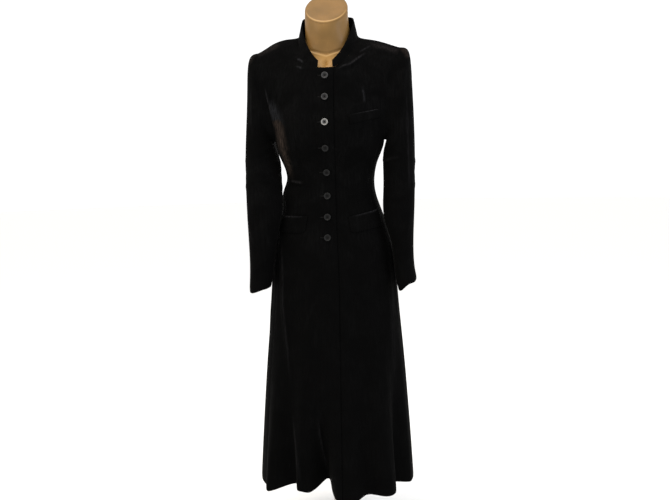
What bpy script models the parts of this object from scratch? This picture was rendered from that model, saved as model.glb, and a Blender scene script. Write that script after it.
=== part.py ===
"""A long fitted velvet overcoat, buttoned to a stand collar, on a limbless dress form.

The coat is sewn from a right and a left front, two side panels, two backs, two sleeves and a
collar.  One smooth cage gives the shape of the whole coat; it is subdivided, draped into folds,
and then cut along its seams into panels, each of which becomes a wall of cloth.  Metres, +Z up,
the wearer's left is +X and the front faces -Y.  The origin is under the middle of the stand.
"""

import math

import bpy
import numpy as np
from mathutils import Vector
from mathutils.bvhtree import BVHTree

# ---- Cloth ----------------------------------------------------------------------------------------
CLOTH = 0.002  # wall of the velvet
SEAM_PULL = 0.00015  # each panel stops this far short of its seam line
OVERLAP = 0.021  # the fronts lap this far past the centre front, right over left
LAP_GAP = 0.0008  # air between the right front and the left front under it
LAP_FADE = 0.034  # the left front rises to the surface over this width

# ---- Main heights ---------------------------------------------------------------------------------
HEM_Z = 0.150
HIP_Z = 0.850
WAIST_Z = 1.009
UNDERARM_Z = 1.133
SCYE_DROP = 0.008  # the armhole dips this far at the underarm

# Level sections of the body, hem to underarm.
# height, half width, depth before the axis, depth behind it
BODY = (
    (HEM_Z, 0.2225, 0.205, 0.214),
    (0.240, 0.2180, 0.196, 0.206),
    (0.345, 0.2115, 0.183, 0.195),
    (0.455, 0.2040, 0.169, 0.182),
    (0.565, 0.1950, 0.155, 0.169),
    (0.680, 0.1825, 0.139, 0.155),
    (0.775, 0.1780, 0.127, 0.145),
    (0.850, 0.1690, 0.118, 0.132),
    (0.915, 0.1500, 0.107, 0.113),
    (0.965, 0.1290, 0.099, 0.096),
    (WAIST_Z, 0.1220, 0.096, 0.088),
    (1.055, 0.1290, 0.104, 0.091),
    (1.100, 0.1455, 0.120, 0.098),
    (UNDERARM_Z, 0.1530, 0.132, 0.106),
)
SQUARE = 2.25  # exponent of the level sections; 2 is an ellipse

# Columns of one half, centre front to centre back, in degrees round the section: up to the hip,
# and at the underarm.  The second column is the edge of the lap, OVERLAP from the centre front.
LAP_COLUMN = 1
FRONT_ANGLES = ((0, 0), (0, 0), (20, 22), (31, 36), (42, 49), (51, 60), (60, 70))
SIDE_ANGLES = ((75, 80), (90, 90), (105, 101))
BACK_ANGLES = ((119, 112), (132, 127), (144, 142), (156, 155), (168, 168), (180, 180))
LAST_FRONT = len(FRONT_ANGLES) - 1  # column at the front of the armhole
FIRST_BACK = LAST_FRONT + len(SIDE_ANGLES) + 1  # column at the back of the armhole
CENTRE_BACK = FIRST_BACK + len(BACK_ANGLES) - 1

# Upper edge of one half: neckline, neck point, shoulder seam.  Roundness bends each column over
# the shoulder.
# x, y, z, roundness
NECK_POINT = (0.0890, 0.010, 1.4180)
SHOULDER_MID = (0.1460, 0.010, 1.4080)
SHOULDER_TIP = (0.2030, 0.004, 1.3860)
FRONT_YOKE = (
    (0.0000, -0.0880, 1.3260, 1.15),
    (OVERLAP, -0.0870, 1.3270, 1.15),
    (0.0470, -0.0775, 1.3370, 1.25),
    (0.0735, -0.0460, 1.3700, 1.45),
    (*NECK_POINT, 1.65),
    (*SHOULDER_MID, 1.90),
    (*SHOULDER_TIP, 2.10),
)
BACK_YOKE = (
    (*SHOULDER_TIP, 2.40),
    (*SHOULDER_MID, 2.20),
    (*NECK_POINT, 2.00),
    (0.0730, 0.0440, 1.4270, 1.90),
    (0.0390, 0.0640, 1.4330, 1.80),
    (0.0000, 0.0700, 1.4350, 1.80),
)
YOKE_ROWS = 5
YOKE_BUNCH = 1.6  # rows lie closer together towards the shoulder by this power
SCYE_IN = 1.1  # power that keeps the armhole edge in over the chest before the shoulder tip
SCYE_HOLLOW = 0.006  # how far the armhole edge bends to the front and to the back

# Fullness over the bust and over the shoulder blades.
# front (-1) or back (1), x and z of its middle, reach across and up, height
FULLNESS = (
    (-1, 0.072, 1.185, 0.058, 0.070, 0.011),
    (1, 0.085, 1.260, 0.070, 0.080, 0.007),
)
FULLNESS_FADE = 0.05  # it dies out over this depth towards the side of the body

# Stand collar: how far its top edge leans in from the neckline at each yoke column, and its rise.
COLLAR_FRONT = ((0.006, 0.0190), (0.010, 0.0310), (0.011, 0.0400), (0.011, 0.0450))
COLLAR_BACK = ((0.008, 0.0440), (0.006, 0.0430), (0.005, 0.0420))
COLLAR_ROWS = 2
COLLAR_CURVE = 0.8  # power of its lean: the collar bends in most at its foot
COLLAR_CREASE = 0.8
NECK_AXIS = Vector((0, -0.004, 0))  # the collar leans towards this axis

# Sleeve rings, below the head to the cuff.  The two sleeves hang a little differently.
# x and z of the outermost point, x and z of the innermost point, half depth, y of the middle
SLEEVE_RIGHT = (
    (0.2340, 1.2900, 0.1510, 1.0930, 0.0610, 0.004),
    (0.2380, 1.2000, 0.1385, 1.0500, 0.0590, -0.002),
    (0.2375, 1.1000, 0.1335, 0.9980, 0.0550, -0.044),
    (0.2335, 1.0050, 0.1265, 0.9460, 0.0500, -0.072),
    (0.2295, 0.9200, 0.1350, 0.8980, 0.0470, -0.084),
    (0.2265, 0.8450, 0.1470, 0.8400, 0.0460, -0.084),
    (0.2255, 0.7750, 0.1580, 0.7730, 0.0455, -0.080),
    (0.2305, 0.7160, 0.1680, 0.7180, 0.0470, -0.076),
)
SLEEVE_LEFT = (
    (0.2345, 1.3000, 0.1475, 1.0950, 0.0610, 0.004),
    (0.2390, 1.2050, 0.1470, 1.0520, 0.0590, 0.000),
    (0.2415, 1.1050, 0.1490, 1.0000, 0.0560, -0.010),
    (0.2410, 1.0100, 0.1460, 0.9500, 0.0540, -0.026),
    (0.2385, 0.9250, 0.1490, 0.9010, 0.0500, -0.044),
    (0.2340, 0.8500, 0.1730, 0.8460, 0.0470, -0.052),
    (0.2345, 0.7820, 0.1770, 0.7800, 0.0460, -0.056),
    (0.2430, 0.7340, 0.1850, 0.7240, 0.0470, -0.060),
)
SLEEVES = {-1: SLEEVE_RIGHT, 1: SLEEVE_LEFT}
SLEEVE_TURNS = (0, 26, 52, 78, 103, 128, 154, 180, 206, 232, 257, 282, 308, 334)
# The ring of the sleeve head lies half way to the first of these rings, moved out and up, and
# further up towards the shoulder.
HEAD_OUT, HEAD_UP, HEAD_UP_TOP = 0.0130, 0.016, 0.028
SCYE_CREASE = 0.35

# The two sides of the coat aren't quite alike.  The right shoulder drops at its tip and stands up
# near the neck; both fade out below over SHOULDER_FADE.
TIP_DROP, TIP_DROP_X, TIP_DROP_REACH = 0.004, 0.15, 0.05
NECK_LIFT, NECK_LIFT_X, NECK_LIFT_REACH = 0.0075, 0.125, 0.080
SHOULDER_FADE = 0.20
# The sides of the bodice stand out here and there, from FLANK_X on.
# side, height, reach up and down, how far out
SIDE_FULLNESS = (
    (-1, 0.978, 0.052, 0.0115),
    (-1, 1.095, 0.060, 0.005),
    (1, 1.105, 0.050, 0.003),
)
FLANK_X, FLANK_FADE = 0.05, 0.06

# Folds of the skirt.
# degrees round from the centre front, half width in degrees, how far the cloth moves out at the
# hem, height at which the fold starts, how far it lifts the hem
FOLDS = (
    (-7.5, 13, -0.078, 0.46, 0.029),
    (-18, 11, -0.024, 0.60, 0.006),
    (-28, 8, -0.004, 0.60, 0.012),
    (-40, 14, -0.050, 0.62, 0.014),
    (-54, 10, 0.012, 0.60, -0.006),
    (12, 17, 0.028, 0.60, -0.002),
    (30, 11, -0.012, 0.55, 0.003),
    (43, 12, 0.018, 0.60, 0.000),
    (63, 13, -0.042, 0.66, 0.006),
    (-84, 36, 0.007, 0.76, 0.002),
    (-104, 16, -0.036, 0.70, 0.006),
    (-132, 17, -0.044, 0.72, 0.007),
    (-162, 17, -0.044, 0.70, 0.007),
    (102, 16, -0.034, 0.68, 0.006),
    (129, 17, -0.046, 0.72, 0.007),
    (159, 17, -0.042, 0.70, 0.006),
)
FOLD_POWER = 1.35  # folds deepen towards the hem by this power
LIFT_TOP_Z, LIFT_FADE = 0.300, 0.150  # they lift the cloth below this height only
SKIRT_TOP_Z = 0.920
SWING, SWING_FADE = 0.0045, 0.22  # the skirt hangs this far over to the wearer's left

# Waves of the two cuffs.
# side, degrees round the cuff, half width in degrees, how far the edge drops there
CUFFS = (
    (-1, 60, 60, 0.009),
    (-1, -30, 50, -0.004),
    (-1, 170, 60, -0.002),
    (1, 118, 45, 0.016),
    (1, 0, 60, -0.006),
    (1, -90, 60, 0.006),
)
CUFF_REACH = 0.045  # the wave dies out this far above the edge

# ---- Pockets --------------------------------------------------------------------------------------
FLAP_WIDTH, FLAP_HEIGHT = 0.112, 0.046
# side, degrees round the hip to its middle, height of its top edge there, degrees its outer end
# is turned up
FLAPS = ((-1, 52, 0.9200, -1.0), (1, 52, 0.9265, 9.0))
HIP_R, HIP_SPREAD = 0.140, 0.25  # radius of the hip at the top of a flap, and its growth downwards
WELT_WIDTH, WELT_HEIGHT = 0.080, 0.024
WELT_X, WELT_Z, WELT_TILT = 0.104, 1.203, math.radians(12)
POCKET_LIFT = 0.0012  # a pocket piece lies this far off the panel
POCKET_CELLS = (8, 3)

# ---- Buttons --------------------------------------------------------------------------------------
BUTTON_R = 0.0100
BUTTON_Z = (1.304, 1.246, 1.178, 1.108, 1.041, 0.976, 0.918, 0.862)
BUTTON_LIFT = 0.0004
# Turned profile, from the middle of the face over the rim to the middle of the back.
# radius, height
BUTTON_PROFILE = (
    (0.0, 0.0024),
    (0.0062, 0.0026),
    (0.0074, 0.0038),
    (0.0090, 0.0040),
    (BUTTON_R, 0.0028),
    (0.0092, 0.0006),
    (0.0060, 0.0),
    (0.0, 0.0),
)
BUTTON_SIDES = 12

# ---- Dress form and stand -------------------------------------------------------------------------
# height, half width, depth before the axis, depth behind it
FORM = (
    (0.740, 0.105, 0.070, 0.085),
    (0.752, 0.146, 0.100, 0.116),
    (0.800, 0.158, 0.108, 0.126),
    (0.850, 0.151, 0.106, 0.119),
    (0.915, 0.134, 0.095, 0.100),
    (0.965, 0.116, 0.087, 0.084),
    (WAIST_Z, 0.110, 0.084, 0.076),
    (1.055, 0.116, 0.092, 0.079),
    (1.100, 0.130, 0.107, 0.086),
    (1.145, 0.136, 0.112, 0.092),
    (1.190, 0.139, 0.112, 0.097),
    (1.235, 0.141, 0.101, 0.097),
    (1.290, 0.143, 0.082, 0.090),
    (1.325, 0.136, 0.064, 0.078),
    (1.350, 0.116, 0.055, 0.069),
    (1.368, 0.090, 0.050, 0.061),
    (1.384, 0.071, 0.050, 0.055),
    (1.404, 0.0630, 0.052, 0.050),
)
FORM_SQUARE = 2.15  # exponent of its level sections
FORM_SIDES = 28
# The neck is cut on the slant: half width and half depth, low down and at the cut.
NECK_R, NECK_TOP_R = (0.0605, 0.0530), (0.0590, 0.0520)
NECK_X, NECK_Y = -0.002, -0.003
NECK_FRONT_Z, NECK_BACK_Z = 1.446, 1.534
NECK_LOW = 0.030  # the lower ring of the neck lies this far under the cut
CAP_GAP, CAP_TOP = 0.0004, 0.006  # where the cap that closes the neck lies above the cut
POLE_R, POLE_SIDES, POLE_GAP = 0.0125, 16, 0.0003
BASE_R, BASE_H, BASE_EDGE, BASE_SIDES = 0.139, 0.014, 0.004, 40
BASE_PROFILE = (
    (0.0, BASE_H),
    (BASE_R - BASE_EDGE, BASE_H),
    (BASE_R, BASE_H - BASE_EDGE),
    (BASE_R, BASE_EDGE),
    (BASE_R - BASE_EDGE, 0.0),
    (0.0, 0.0),
)

# ---- Panels and materials -------------------------------------------------------------------------
BODY_PANELS = ("front_right", "front_left", "lap", "side_right", "side_left", "back_right", "back_left")
PANELS = BODY_PANELS + ("sleeve_right", "sleeve_left", "collar")
# base colour, roughness, metallic
MATERIALS = {
    "velvet": ((0.012, 0.011, 0.011), 0.85, 0.0),
    "button": ((0.060, 0.060, 0.060), 0.35, 0.0),
    "form": ((0.550, 0.360, 0.170), 0.45, 0.0),
    "stand": ((0.300, 0.300, 0.310), 0.35, 1.0),
}
LEVELS = 1  # subdivisions of the cage
SMOOTH_ANGLE = math.radians(50)
RAY_START = 0.5  # pieces are laid on the coat from this far out
MERGE = 1e-5


# ---- Small helpers --------------------------------------------------------------------------------
def side_name(side):
    return "left" if side > 0 else "right"


def smoothstep(value):
    """0 up to 0, 1 from 1 on, smooth in between."""
    value = np.clip(value, 0.0, 1.0)
    return value * value * (3 - 2 * value)


def bump(distance, half_width):
    """1 in the middle of a fold, 0 from half_width on, smooth in between."""
    return 0.5 + 0.5 * np.cos(np.pi * np.clip(np.abs(distance) / half_width, 0.0, 1.0))


def section_point(half_width, front, back, angle, square=SQUARE):
    """A point of a level section, angle degrees round from the centre front."""
    c, s = math.cos(math.radians(angle)), math.sin(math.radians(angle))
    depth = front if c > 0 else back
    return (half_width * math.copysign(abs(s) ** (2 / square), s),
            -depth * math.copysign(abs(c) ** (2 / square), c))


def column_angle(column, row):
    """Where a column of the body lies in a section, in degrees round from the centre front."""
    height, half_width, _, _ = BODY[row]
    if column == LAP_COLUMN:
        return math.degrees(math.asin((OVERLAP / half_width) ** (SQUARE / 2)))
    at_hip, at_underarm = (FRONT_ANGLES + SIDE_ANGLES + BACK_ANGLES)[column]
    share = smoothstep((height - HIP_Z) / (UNDERARM_Z - HIP_Z))
    return at_hip + (at_underarm - at_hip) * float(share)


# ---- The cage -------------------------------------------------------------------------------------
class Cage:
    """Named corners and the faces between them, each face with the panel that it belongs to."""

    def __init__(self):
        self.index, self.points = {}, []
        self.faces, self.panels = [], []
        self.creases = []

    def corner(self, key, point):
        """Adds a corner, unless the other half of the coat has added it already."""
        if key not in self.index:
            self.index[key] = len(self.points)
            self.points.append(point)

    def at(self, key):
        return Vector(self.points[self.index[key]])

    def face(self, keys, panel, flip):
        corners = [self.index[key] for key in keys]
        self.faces.append(corners[::-1] if flip else corners)
        self.panels.append(PANELS.index(panel))


def side_key(kind, side, column, row):
    """The two halves share their corners on the centre lines and on the shoulder seam."""
    if column in (0, CENTRE_BACK):
        side = 0
    if kind == "yoke" and row == 0:
        kind, row = "body", len(BODY) - 1
    if kind == "yoke" and row == YOKE_ROWS and FIRST_BACK <= column <= FIRST_BACK + 2:
        column = LAST_FRONT - (column - FIRST_BACK)
    return kind, side, column, row


def yoke_point(column, row):
    """A corner above the underarm, between the top body section and the neck or shoulder."""
    if column <= LAST_FRONT:
        x1, y1, z1, roundness = FRONT_YOKE[column]
    else:
        x1, y1, z1, roundness = BACK_YOKE[column - FIRST_BACK]
    height, half_width, front, back = BODY[-1]
    x0, y0 = section_point(half_width, front, back, column_angle(column, len(BODY) - 1))
    share = 1 - (1 - row / YOKE_ROWS) ** YOKE_BUNCH
    over = (1 - share ** roundness) ** (1 / roundness)
    scye = {LAST_FRONT: -1, FIRST_BACK: 1}.get(column, 0)
    sideways = share ** SCYE_IN if scye else share
    hollow = scye * SCYE_HOLLOW * math.sin(math.pi * share)
    x = x0 + (x1 - x0) * sideways
    y = y1 + (y0 - y1) * over + hollow
    return x, y, height + (z1 - height) * share


def scye_keys(side):
    """The corners round one armhole, from the shoulder tip down the front and up the back."""
    front = [side_key("yoke", side, LAST_FRONT, row) for row in range(YOKE_ROWS, -1, -1)]
    under = [side_key("yoke", side, column, 0) for column in range(LAST_FRONT + 1, FIRST_BACK)]
    back = [side_key("yoke", side, FIRST_BACK, row) for row in range(0, YOKE_ROWS)]
    return front + under + back


def body_panel(column, side):
    """The panel between a column and the next one."""
    if column < LAP_COLUMN:
        return "lap"
    if column < LAST_FRONT:
        return f"front_{side_name(side)}"
    if column < FIRST_BACK:
        return f"side_{side_name(side)}"
    return f"back_{side_name(side)}"


def add_body(cage, side):
    """One half of the body, from the hem to the neckline and the shoulder seam."""
    for row, (height, half_width, front, back) in enumerate(BODY):
        for column in range(CENTRE_BACK + 1):
            x, y = section_point(half_width, front, back, column_angle(column, row))
            under_arm = row == len(BODY) - 1 and LAST_FRONT < column < FIRST_BACK
            z = height - SCYE_DROP * under_arm
            cage.corner(side_key("body", side, column, row), (side * x, y, z))
    for column in (*range(LAST_FRONT + 1), *range(FIRST_BACK, CENTRE_BACK + 1)):
        for row in range(1, YOKE_ROWS + 1):
            x, y, z = yoke_point(column, row)
            cage.corner(side_key("yoke", side, column, row), (side * x, y, z))
    cells = [("body", column, row) for row in range(len(BODY) - 1) for column in range(CENTRE_BACK)]
    chest_and_back = (*range(LAST_FRONT), *range(FIRST_BACK, CENTRE_BACK))
    cells += [("yoke", column, row) for row in range(YOKE_ROWS) for column in chest_and_back]
    for kind, column, row in cells:
        steps = ((0, 0), (1, 0), (1, 1), (0, 1))
        keys = [side_key(kind, side, column + across, row + up) for across, up in steps]
        cage.face(keys, body_panel(column, side), side < 0)


def sleeve_ring(row):
    """The corners of one ring on the left; it is level across, and leans with its two ends."""
    outer_x, outer_z, inner_x, inner_z, depth, y = row
    middle = Vector(((outer_x + inner_x) / 2, y, (outer_z + inner_z) / 2))
    arm = Vector((outer_x, y, outer_z)) - middle
    turns = [math.radians(turn) for turn in SLEEVE_TURNS]
    return [middle + arm * math.cos(t) + Vector((0, -depth * math.sin(t), 0)) for t in turns]


def sleeve_head(cage, top, first_ring, side):
    """The ring between the armhole and the first ring of the sleeve, on the left."""
    head = []
    for key, below, turn in zip(top, first_ring, SLEEVE_TURNS):
        above = cage.at(key)
        above.x *= side
        up = HEAD_UP + HEAD_UP_TOP * (0.5 + 0.5 * math.cos(math.radians(turn))) ** 2
        head.append((above + below) / 2 + Vector((HEAD_OUT, 0, up)))
    return head


def add_sleeve(cage, side):
    top = scye_keys(side)
    rings = [sleeve_ring(row) for row in SLEEVES[side]]
    rings.insert(0, sleeve_head(cage, top, rings[0], side))
    keys = [top]
    for number, ring in enumerate(rings):
        keys.append([("sleeve", side, n, number) for n in range(len(ring))])
        for key, p in zip(keys[-1], ring):
            cage.corner(key, (side * p.x, p.y, p.z))
    around = [(n, (n + 1) % len(top)) for n in range(len(top))]
    for upper, lower in zip(keys, keys[1:]):
        for n, m in around:
            corners = (upper[m], lower[m], lower[n], upper[n])
            cage.face(corners, f"sleeve_{side_name(side)}", side < 0)
    cage.creases += [(top[n], top[m], SCYE_CREASE) for n, m in around]


def collar_key(side, column, row):
    """The foot of the collar is the neckline itself."""
    foot = side_key("yoke", side, column, YOKE_ROWS)
    return ("collar", foot[1], column, row) if row else foot


def add_collar(cage, side):
    columns = (*range(LAP_COLUMN, LAST_FRONT - 1), *range(FIRST_BACK + 3, CENTRE_BACK + 1))
    for column, (lean, rise) in zip(columns, COLLAR_FRONT + COLLAR_BACK):
        foot = cage.at(collar_key(side, column, 0))
        inward = (NECK_AXIS - foot).xy.normalized()
        for row in range(1, COLLAR_ROWS + 1):
            share = row / COLLAR_ROWS
            step = inward * lean * share ** COLLAR_CURVE
            point = (foot.x + step.x, foot.y + step.y, foot.z + rise * share)
            cage.corner(collar_key(side, column, row), point)
    for first, second in zip(columns, columns[1:]):
        for row in range(COLLAR_ROWS):
            corners = [collar_key(side, column, r) for column, r in
                       ((first, row), (second, row), (second, row + 1), (first, row + 1))]
            cage.face(corners, "collar", side < 0)
        ends = collar_key(side, first, 0), collar_key(side, second, 0)
        cage.creases.append((*ends, COLLAR_CREASE))


def coat_cage():
    cage = Cage()
    for side in (-1, 1):
        add_body(cage, side)
        add_sleeve(cage, side)
        add_collar(cage, side)
    return cage


# ---- The draped surface ---------------------------------------------------------------------------
class Surface:
    """The subdivided coat: points, normals, faces and the panel of each face."""

    def __init__(self, cage, levels=LEVELS):
        mesh = bpy.data.meshes.new("coat_cage")
        mesh.from_pydata(cage.points, [], cage.faces)
        mesh.attributes.new("panel", "INT", "FACE").data.foreach_set("value", cage.panels)
        crease = mesh.attributes.new("crease_edge", "FLOAT", "EDGE")
        edges = {tuple(sorted(e.vertices)): e.index for e in mesh.edges}
        for a, b, value in cage.creases:
            crease.data[edges[tuple(sorted((cage.index[a], cage.index[b])))]].value = value
        guide = bpy.data.objects.new("coat_cage", mesh)
        bpy.context.scene.collection.objects.link(guide)
        smooth = guide.modifiers.new("smooth", "SUBSURF")
        smooth.levels = smooth.render_levels = levels
        smooth.boundary_smooth = "PRESERVE_CORNERS"
        graph = bpy.context.evaluated_depsgraph_get()
        fine = bpy.data.meshes.new_from_object(guide.evaluated_get(graph))
        self.points = np.array([v.co for v in fine.vertices])
        self.faces = [tuple(f.vertices) for f in fine.polygons]
        self.panels = np.array([d.value for d in fine.attributes["panel"].data])
        self.uses = edge_uses(self.faces)
        self.normals = None
        bpy.data.objects.remove(guide)
        bpy.data.meshes.remove(mesh)
        bpy.data.meshes.remove(fine)

    def find_normals(self):
        """At each corner of a face, its normal there, weighted by the angle of the corner."""
        total = np.zeros_like(self.points)
        corners = np.array(self.faces)
        for n in range(4):
            here, on, back = (self.points[corners[:, (n + k) % 4]] for k in (0, 1, 3))
            on, back = on - here, back - here
            across = np.cross(on, back)
            size = np.linalg.norm(across, axis=1, keepdims=True)
            angle = np.arctan2(size, (on * back).sum(1, keepdims=True))
            np.add.at(total, corners[:, n], across / size * angle)
        self.normals = total / np.linalg.norm(total, axis=1, keepdims=True)

    def faces_of(self, *names):
        wanted = {PANELS.index(name) for name in names}
        return [face for face, panel in zip(self.faces, self.panels) if panel in wanted]

    def points_of(self, *names):
        """Which points the named panels use."""
        used = np.zeros(len(self.points), bool)
        for face in self.faces_of(*names):
            used[list(face)] = True
        return used


def fill_out(surface):
    """Fullness over the bust, the shoulder blades and the sides, and the unlike shoulders."""
    p = surface.points
    for facing, x, z, reach_x, reach_z, height in FULLNESS:
        near = smoothstep(facing * p[:, 1] / FULLNESS_FADE)
        away = np.hypot((np.abs(p[:, 0]) - x) / reach_x, (p[:, 2] - z) / reach_z)
        p[:, 1] += facing * height * bump(away, 1.0) * near
    body = surface.points_of(*BODY_PANELS)
    for side, z, reach, out in SIDE_FULLNESS:
        flank = body * smoothstep((side * p[:, 0] - FLANK_X) / FLANK_FADE)
        p[:, 0] += side * out * bump(p[:, 2] - z, reach) * flank
    high = smoothstep((p[:, 2] - UNDERARM_Z) / SHOULDER_FADE)
    drop = TIP_DROP * smoothstep((-p[:, 0] - TIP_DROP_X) / TIP_DROP_REACH)
    lift = NECK_LIFT * bump(p[:, 0] + NECK_LIFT_X, NECK_LIFT_REACH)
    p[:, 2] += (lift - drop) * high


def drape(surface):
    """Moves the skirt into its folds and lets it hang a little to one side."""
    p = surface.points
    low = surface.points_of(*BODY_PANELS) & (p[:, 2] < SKIRT_TOP_Z)
    x, y, z = p[low].T
    angle = np.degrees(np.arctan2(x, -y))
    out, lift = np.zeros(len(x)), np.zeros(len(x))
    for centre, half_width, depth, top, rise in FOLDS:
        away = (angle - centre + 180) % 360 - 180
        grown = np.clip((top - z) / (top - HEM_Z), 0, 1) ** FOLD_POWER
        out += depth * grown * bump(away, half_width)
        lift += rise * bump(away, half_width) * smoothstep((LIFT_TOP_Z - z) / LIFT_FADE)
    radius = np.hypot(x, y)
    p[low, 0] += x / radius * out + SWING * smoothstep((SKIRT_TOP_Z - z) / SWING_FADE)
    p[low, 1] += y / radius * out
    p[low, 2] += lift


def wave_cuffs(surface):
    """Lets the edge of each cuff drop and rise a little round the wrist."""
    for side, centre, half_width, drop in CUFFS:
        outer_x, outer_z, inner_x, _, _, centre_y = SLEEVES[side][-1]
        used = surface.points_of(f"sleeve_{side_name(side)}")
        x, y, z = surface.points[used].T
        turn = np.degrees(np.arctan2(-(y - centre_y), side * x - (outer_x + inner_x) / 2))
        away = (turn - centre + 180) % 360 - 180
        near_edge = smoothstep((outer_z + CUFF_REACH - z) / CUFF_REACH)
        surface.points[used, 2] -= drop * bump(away, half_width) * near_edge


# ---- Walls of cloth -------------------------------------------------------------------------------
def edge_uses(faces):
    """For each edge, the faces that use it and the way each of them runs along it."""
    uses = {}
    for n, face in enumerate(faces):
        for a, b in zip(face, face[1:] + face[:1]):
            uses.setdefault((min(a, b), max(a, b)), []).append((n, a, b))
    return uses


def wall(name, surface, faces, offset=None):
    """The closed wall of cloth whose outer side is these faces, short of the seams round it.

    Both panels of a seam take their thickness along the normals of the whole coat, so that their
    rims lie face to face.
    """
    rim = [(a, b) for uses in edge_uses(faces).values() if len(uses) == 1 for _, a, b in uses]
    inward = {}  # for each point on a seam, the ways from its rim edges into the panel
    for a, b in rim:
        if len(surface.uses[min(a, b), max(a, b)]) < 2:
            continue
        for v in (a, b):
            away = np.cross(surface.normals[v], surface.points[b] - surface.points[a])
            inward.setdefault(v, []).append(away / np.linalg.norm(away))
    used = sorted({v for face in faces for v in face})
    place = {v: n for n, v in enumerate(used)}
    outer = surface.points[used].copy()
    normals = surface.normals[used]
    for v, ways in inward.items():
        mitre = 1 + (ways[0] @ ways[1] if len(ways) == 2 else 0)
        outer[place[v]] += sum(ways) / mitre * SEAM_PULL
    if offset is not None:
        outer -= normals * offset[used][:, None]
    points = np.concatenate([outer, outer - normals * CLOTH])
    count = len(used)
    built = [[place[v] for v in face] for face in faces]
    built += [[place[v] + count for v in reversed(face)] for face in faces]
    for a, b in rim:  # both panels of a seam split their edges along the same diagonals
        pa, pb = place[a], place[b]
        if a < b:
            built += [[pb, pa, pb + count], [pa, pa + count, pb + count]]
        else:
            built += [[pb, pa, pa + count], [pb, pa + count, pb + count]]
    mesh = bpy.data.meshes.new(name)
    mesh.from_pydata([tuple(p) for p in points], [], built)
    return mesh


def under_lap(surface):
    """How far each point of the left front lies under the right front, before the draping."""
    x = surface.points[:, 0]
    return (CLOTH + LAP_GAP) * smoothstep((OVERLAP + LAP_FADE - x) / LAP_FADE)


# ---- Pieces on the cloth --------------------------------------------------------------------------
def cloth_tree(surface):
    """The body of the coat, without its sleeves and collar, to lay pieces on."""
    points = [tuple(p) for p in surface.points]
    return BVHTree.FromPolygons(points, surface.faces_of(*BODY_PANELS))


def spot(tree, start, direction):
    """Where a ray meets the coat, and the coat's normal there, turned to face the ray."""
    point, normal, _, _ = tree.ray_cast(start, direction)
    return point, normal if normal.dot(direction) < 0 else -normal


def pocket_spots(spot_at):
    """The grid of spots under a pocket piece.

    spot_at takes how far along and how far down the piece a spot lies, -0.5 to 0.5 and 0 to 1.
    """
    columns, rows = POCKET_CELLS
    return [[spot_at(c / columns - 0.5, r / rows) for c in range(columns + 1)] for r in range(rows + 1)]


def flap_spots(tree, side, middle, top, tilt):
    """Spots that follow the hip round, from the front end of the flap backwards."""

    def spot_at(along, down):
        along *= FLAP_WIDTH
        z = top - FLAP_HEIGHT * down + along * math.sin(math.radians(tilt))
        angle = math.radians(middle) + along / (HIP_R + (top - z) * HIP_SPREAD)
        out = Vector((side * math.sin(angle), -math.cos(angle), 0))
        return spot(tree, out * RAY_START + Vector((0, 0, z)), -out)

    return pocket_spots(spot_at)


def welt_spots(tree):
    """Spots of the slanted welt on the left chest, higher at its outer end."""

    def spot_at(along, down):
        along, down = along * WELT_WIDTH, down * WELT_HEIGHT
        x = WELT_X + along * math.cos(WELT_TILT) + down * math.sin(WELT_TILT)
        z = WELT_Z + along * math.sin(WELT_TILT) - down * math.cos(WELT_TILT)
        return spot(tree, Vector((x, -RAY_START, z)), Vector((0, 1, 0)))

    return pocket_spots(spot_at)


def add_pocket(name, spots, flip, collection):
    """A thin piece of cloth just off the spots below it."""
    width = len(spots[0])
    points = [point + normal * POCKET_LIFT for row in spots for point, normal in row]
    corners = [row * width + column for row in range(len(spots) - 1) for column in range(width - 1)]
    faces = [(n, n + width, n + width + 1, n + 1) for n in corners]
    mesh = bpy.data.meshes.new(name)
    mesh.from_pydata(points, [], [face[::-1] for face in faces] if flip else faces)
    piece = add_piece(name, mesh, "velvet", collection)
    thick = piece.modifiers.new("cloth", "SOLIDIFY")
    thick.thickness, thick.offset = CLOTH, 1.0


def add_turned(name, profile, sides, finish, collection):
    """A solid of revolution about Z; its profile runs from the axis on top to the axis below."""
    mesh = bpy.data.meshes.new(name)
    edges = [(n, n + 1) for n in range(len(profile) - 1)]
    mesh.from_pydata([(radius, 0, height) for radius, height in profile], edges, [])
    piece = add_piece(name, mesh, finish, collection)
    turn = piece.modifiers.new("turn", "SCREW")
    turn.steps = turn.render_steps = sides
    turn.use_merge_vertices = True
    turn.merge_threshold = MERGE
    return piece


def add_button(number, height, tree, collection):
    point, normal = spot(tree, Vector((0, -RAY_START, height)), Vector((0, 1, 0)))
    piece = add_turned(f"button_{number}", BUTTON_PROFILE, BUTTON_SIDES, "button", collection)
    piece.location = point + normal * BUTTON_LIFT
    piece.rotation_mode = "QUATERNION"
    piece.rotation_quaternion = normal.to_track_quat("Z", "Y")


# ---- Dress form and stand -------------------------------------------------------------------------
def form_ring(height, half_width, front, back):
    """A level ring of the form's body."""
    turns = [360 * n / FORM_SIDES for n in range(FORM_SIDES)]
    return [(*section_point(half_width, front, back, t, FORM_SQUARE), height) for t in turns]


def neck_ring(lift, radii):
    """A ring of the neck parallel to its slanted cut, lift above it."""
    ring = []
    for n in range(FORM_SIDES):
        turn = 2 * math.pi * n / FORM_SIDES
        x, y = NECK_X + radii[0] * math.sin(turn), NECK_Y - radii[1] * math.cos(turn)
        share = (1 - math.cos(turn)) / 2
        ring.append((x, y, NECK_FRONT_Z + (NECK_BACK_Z - NECK_FRONT_Z) * share + lift))
    return ring


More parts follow.
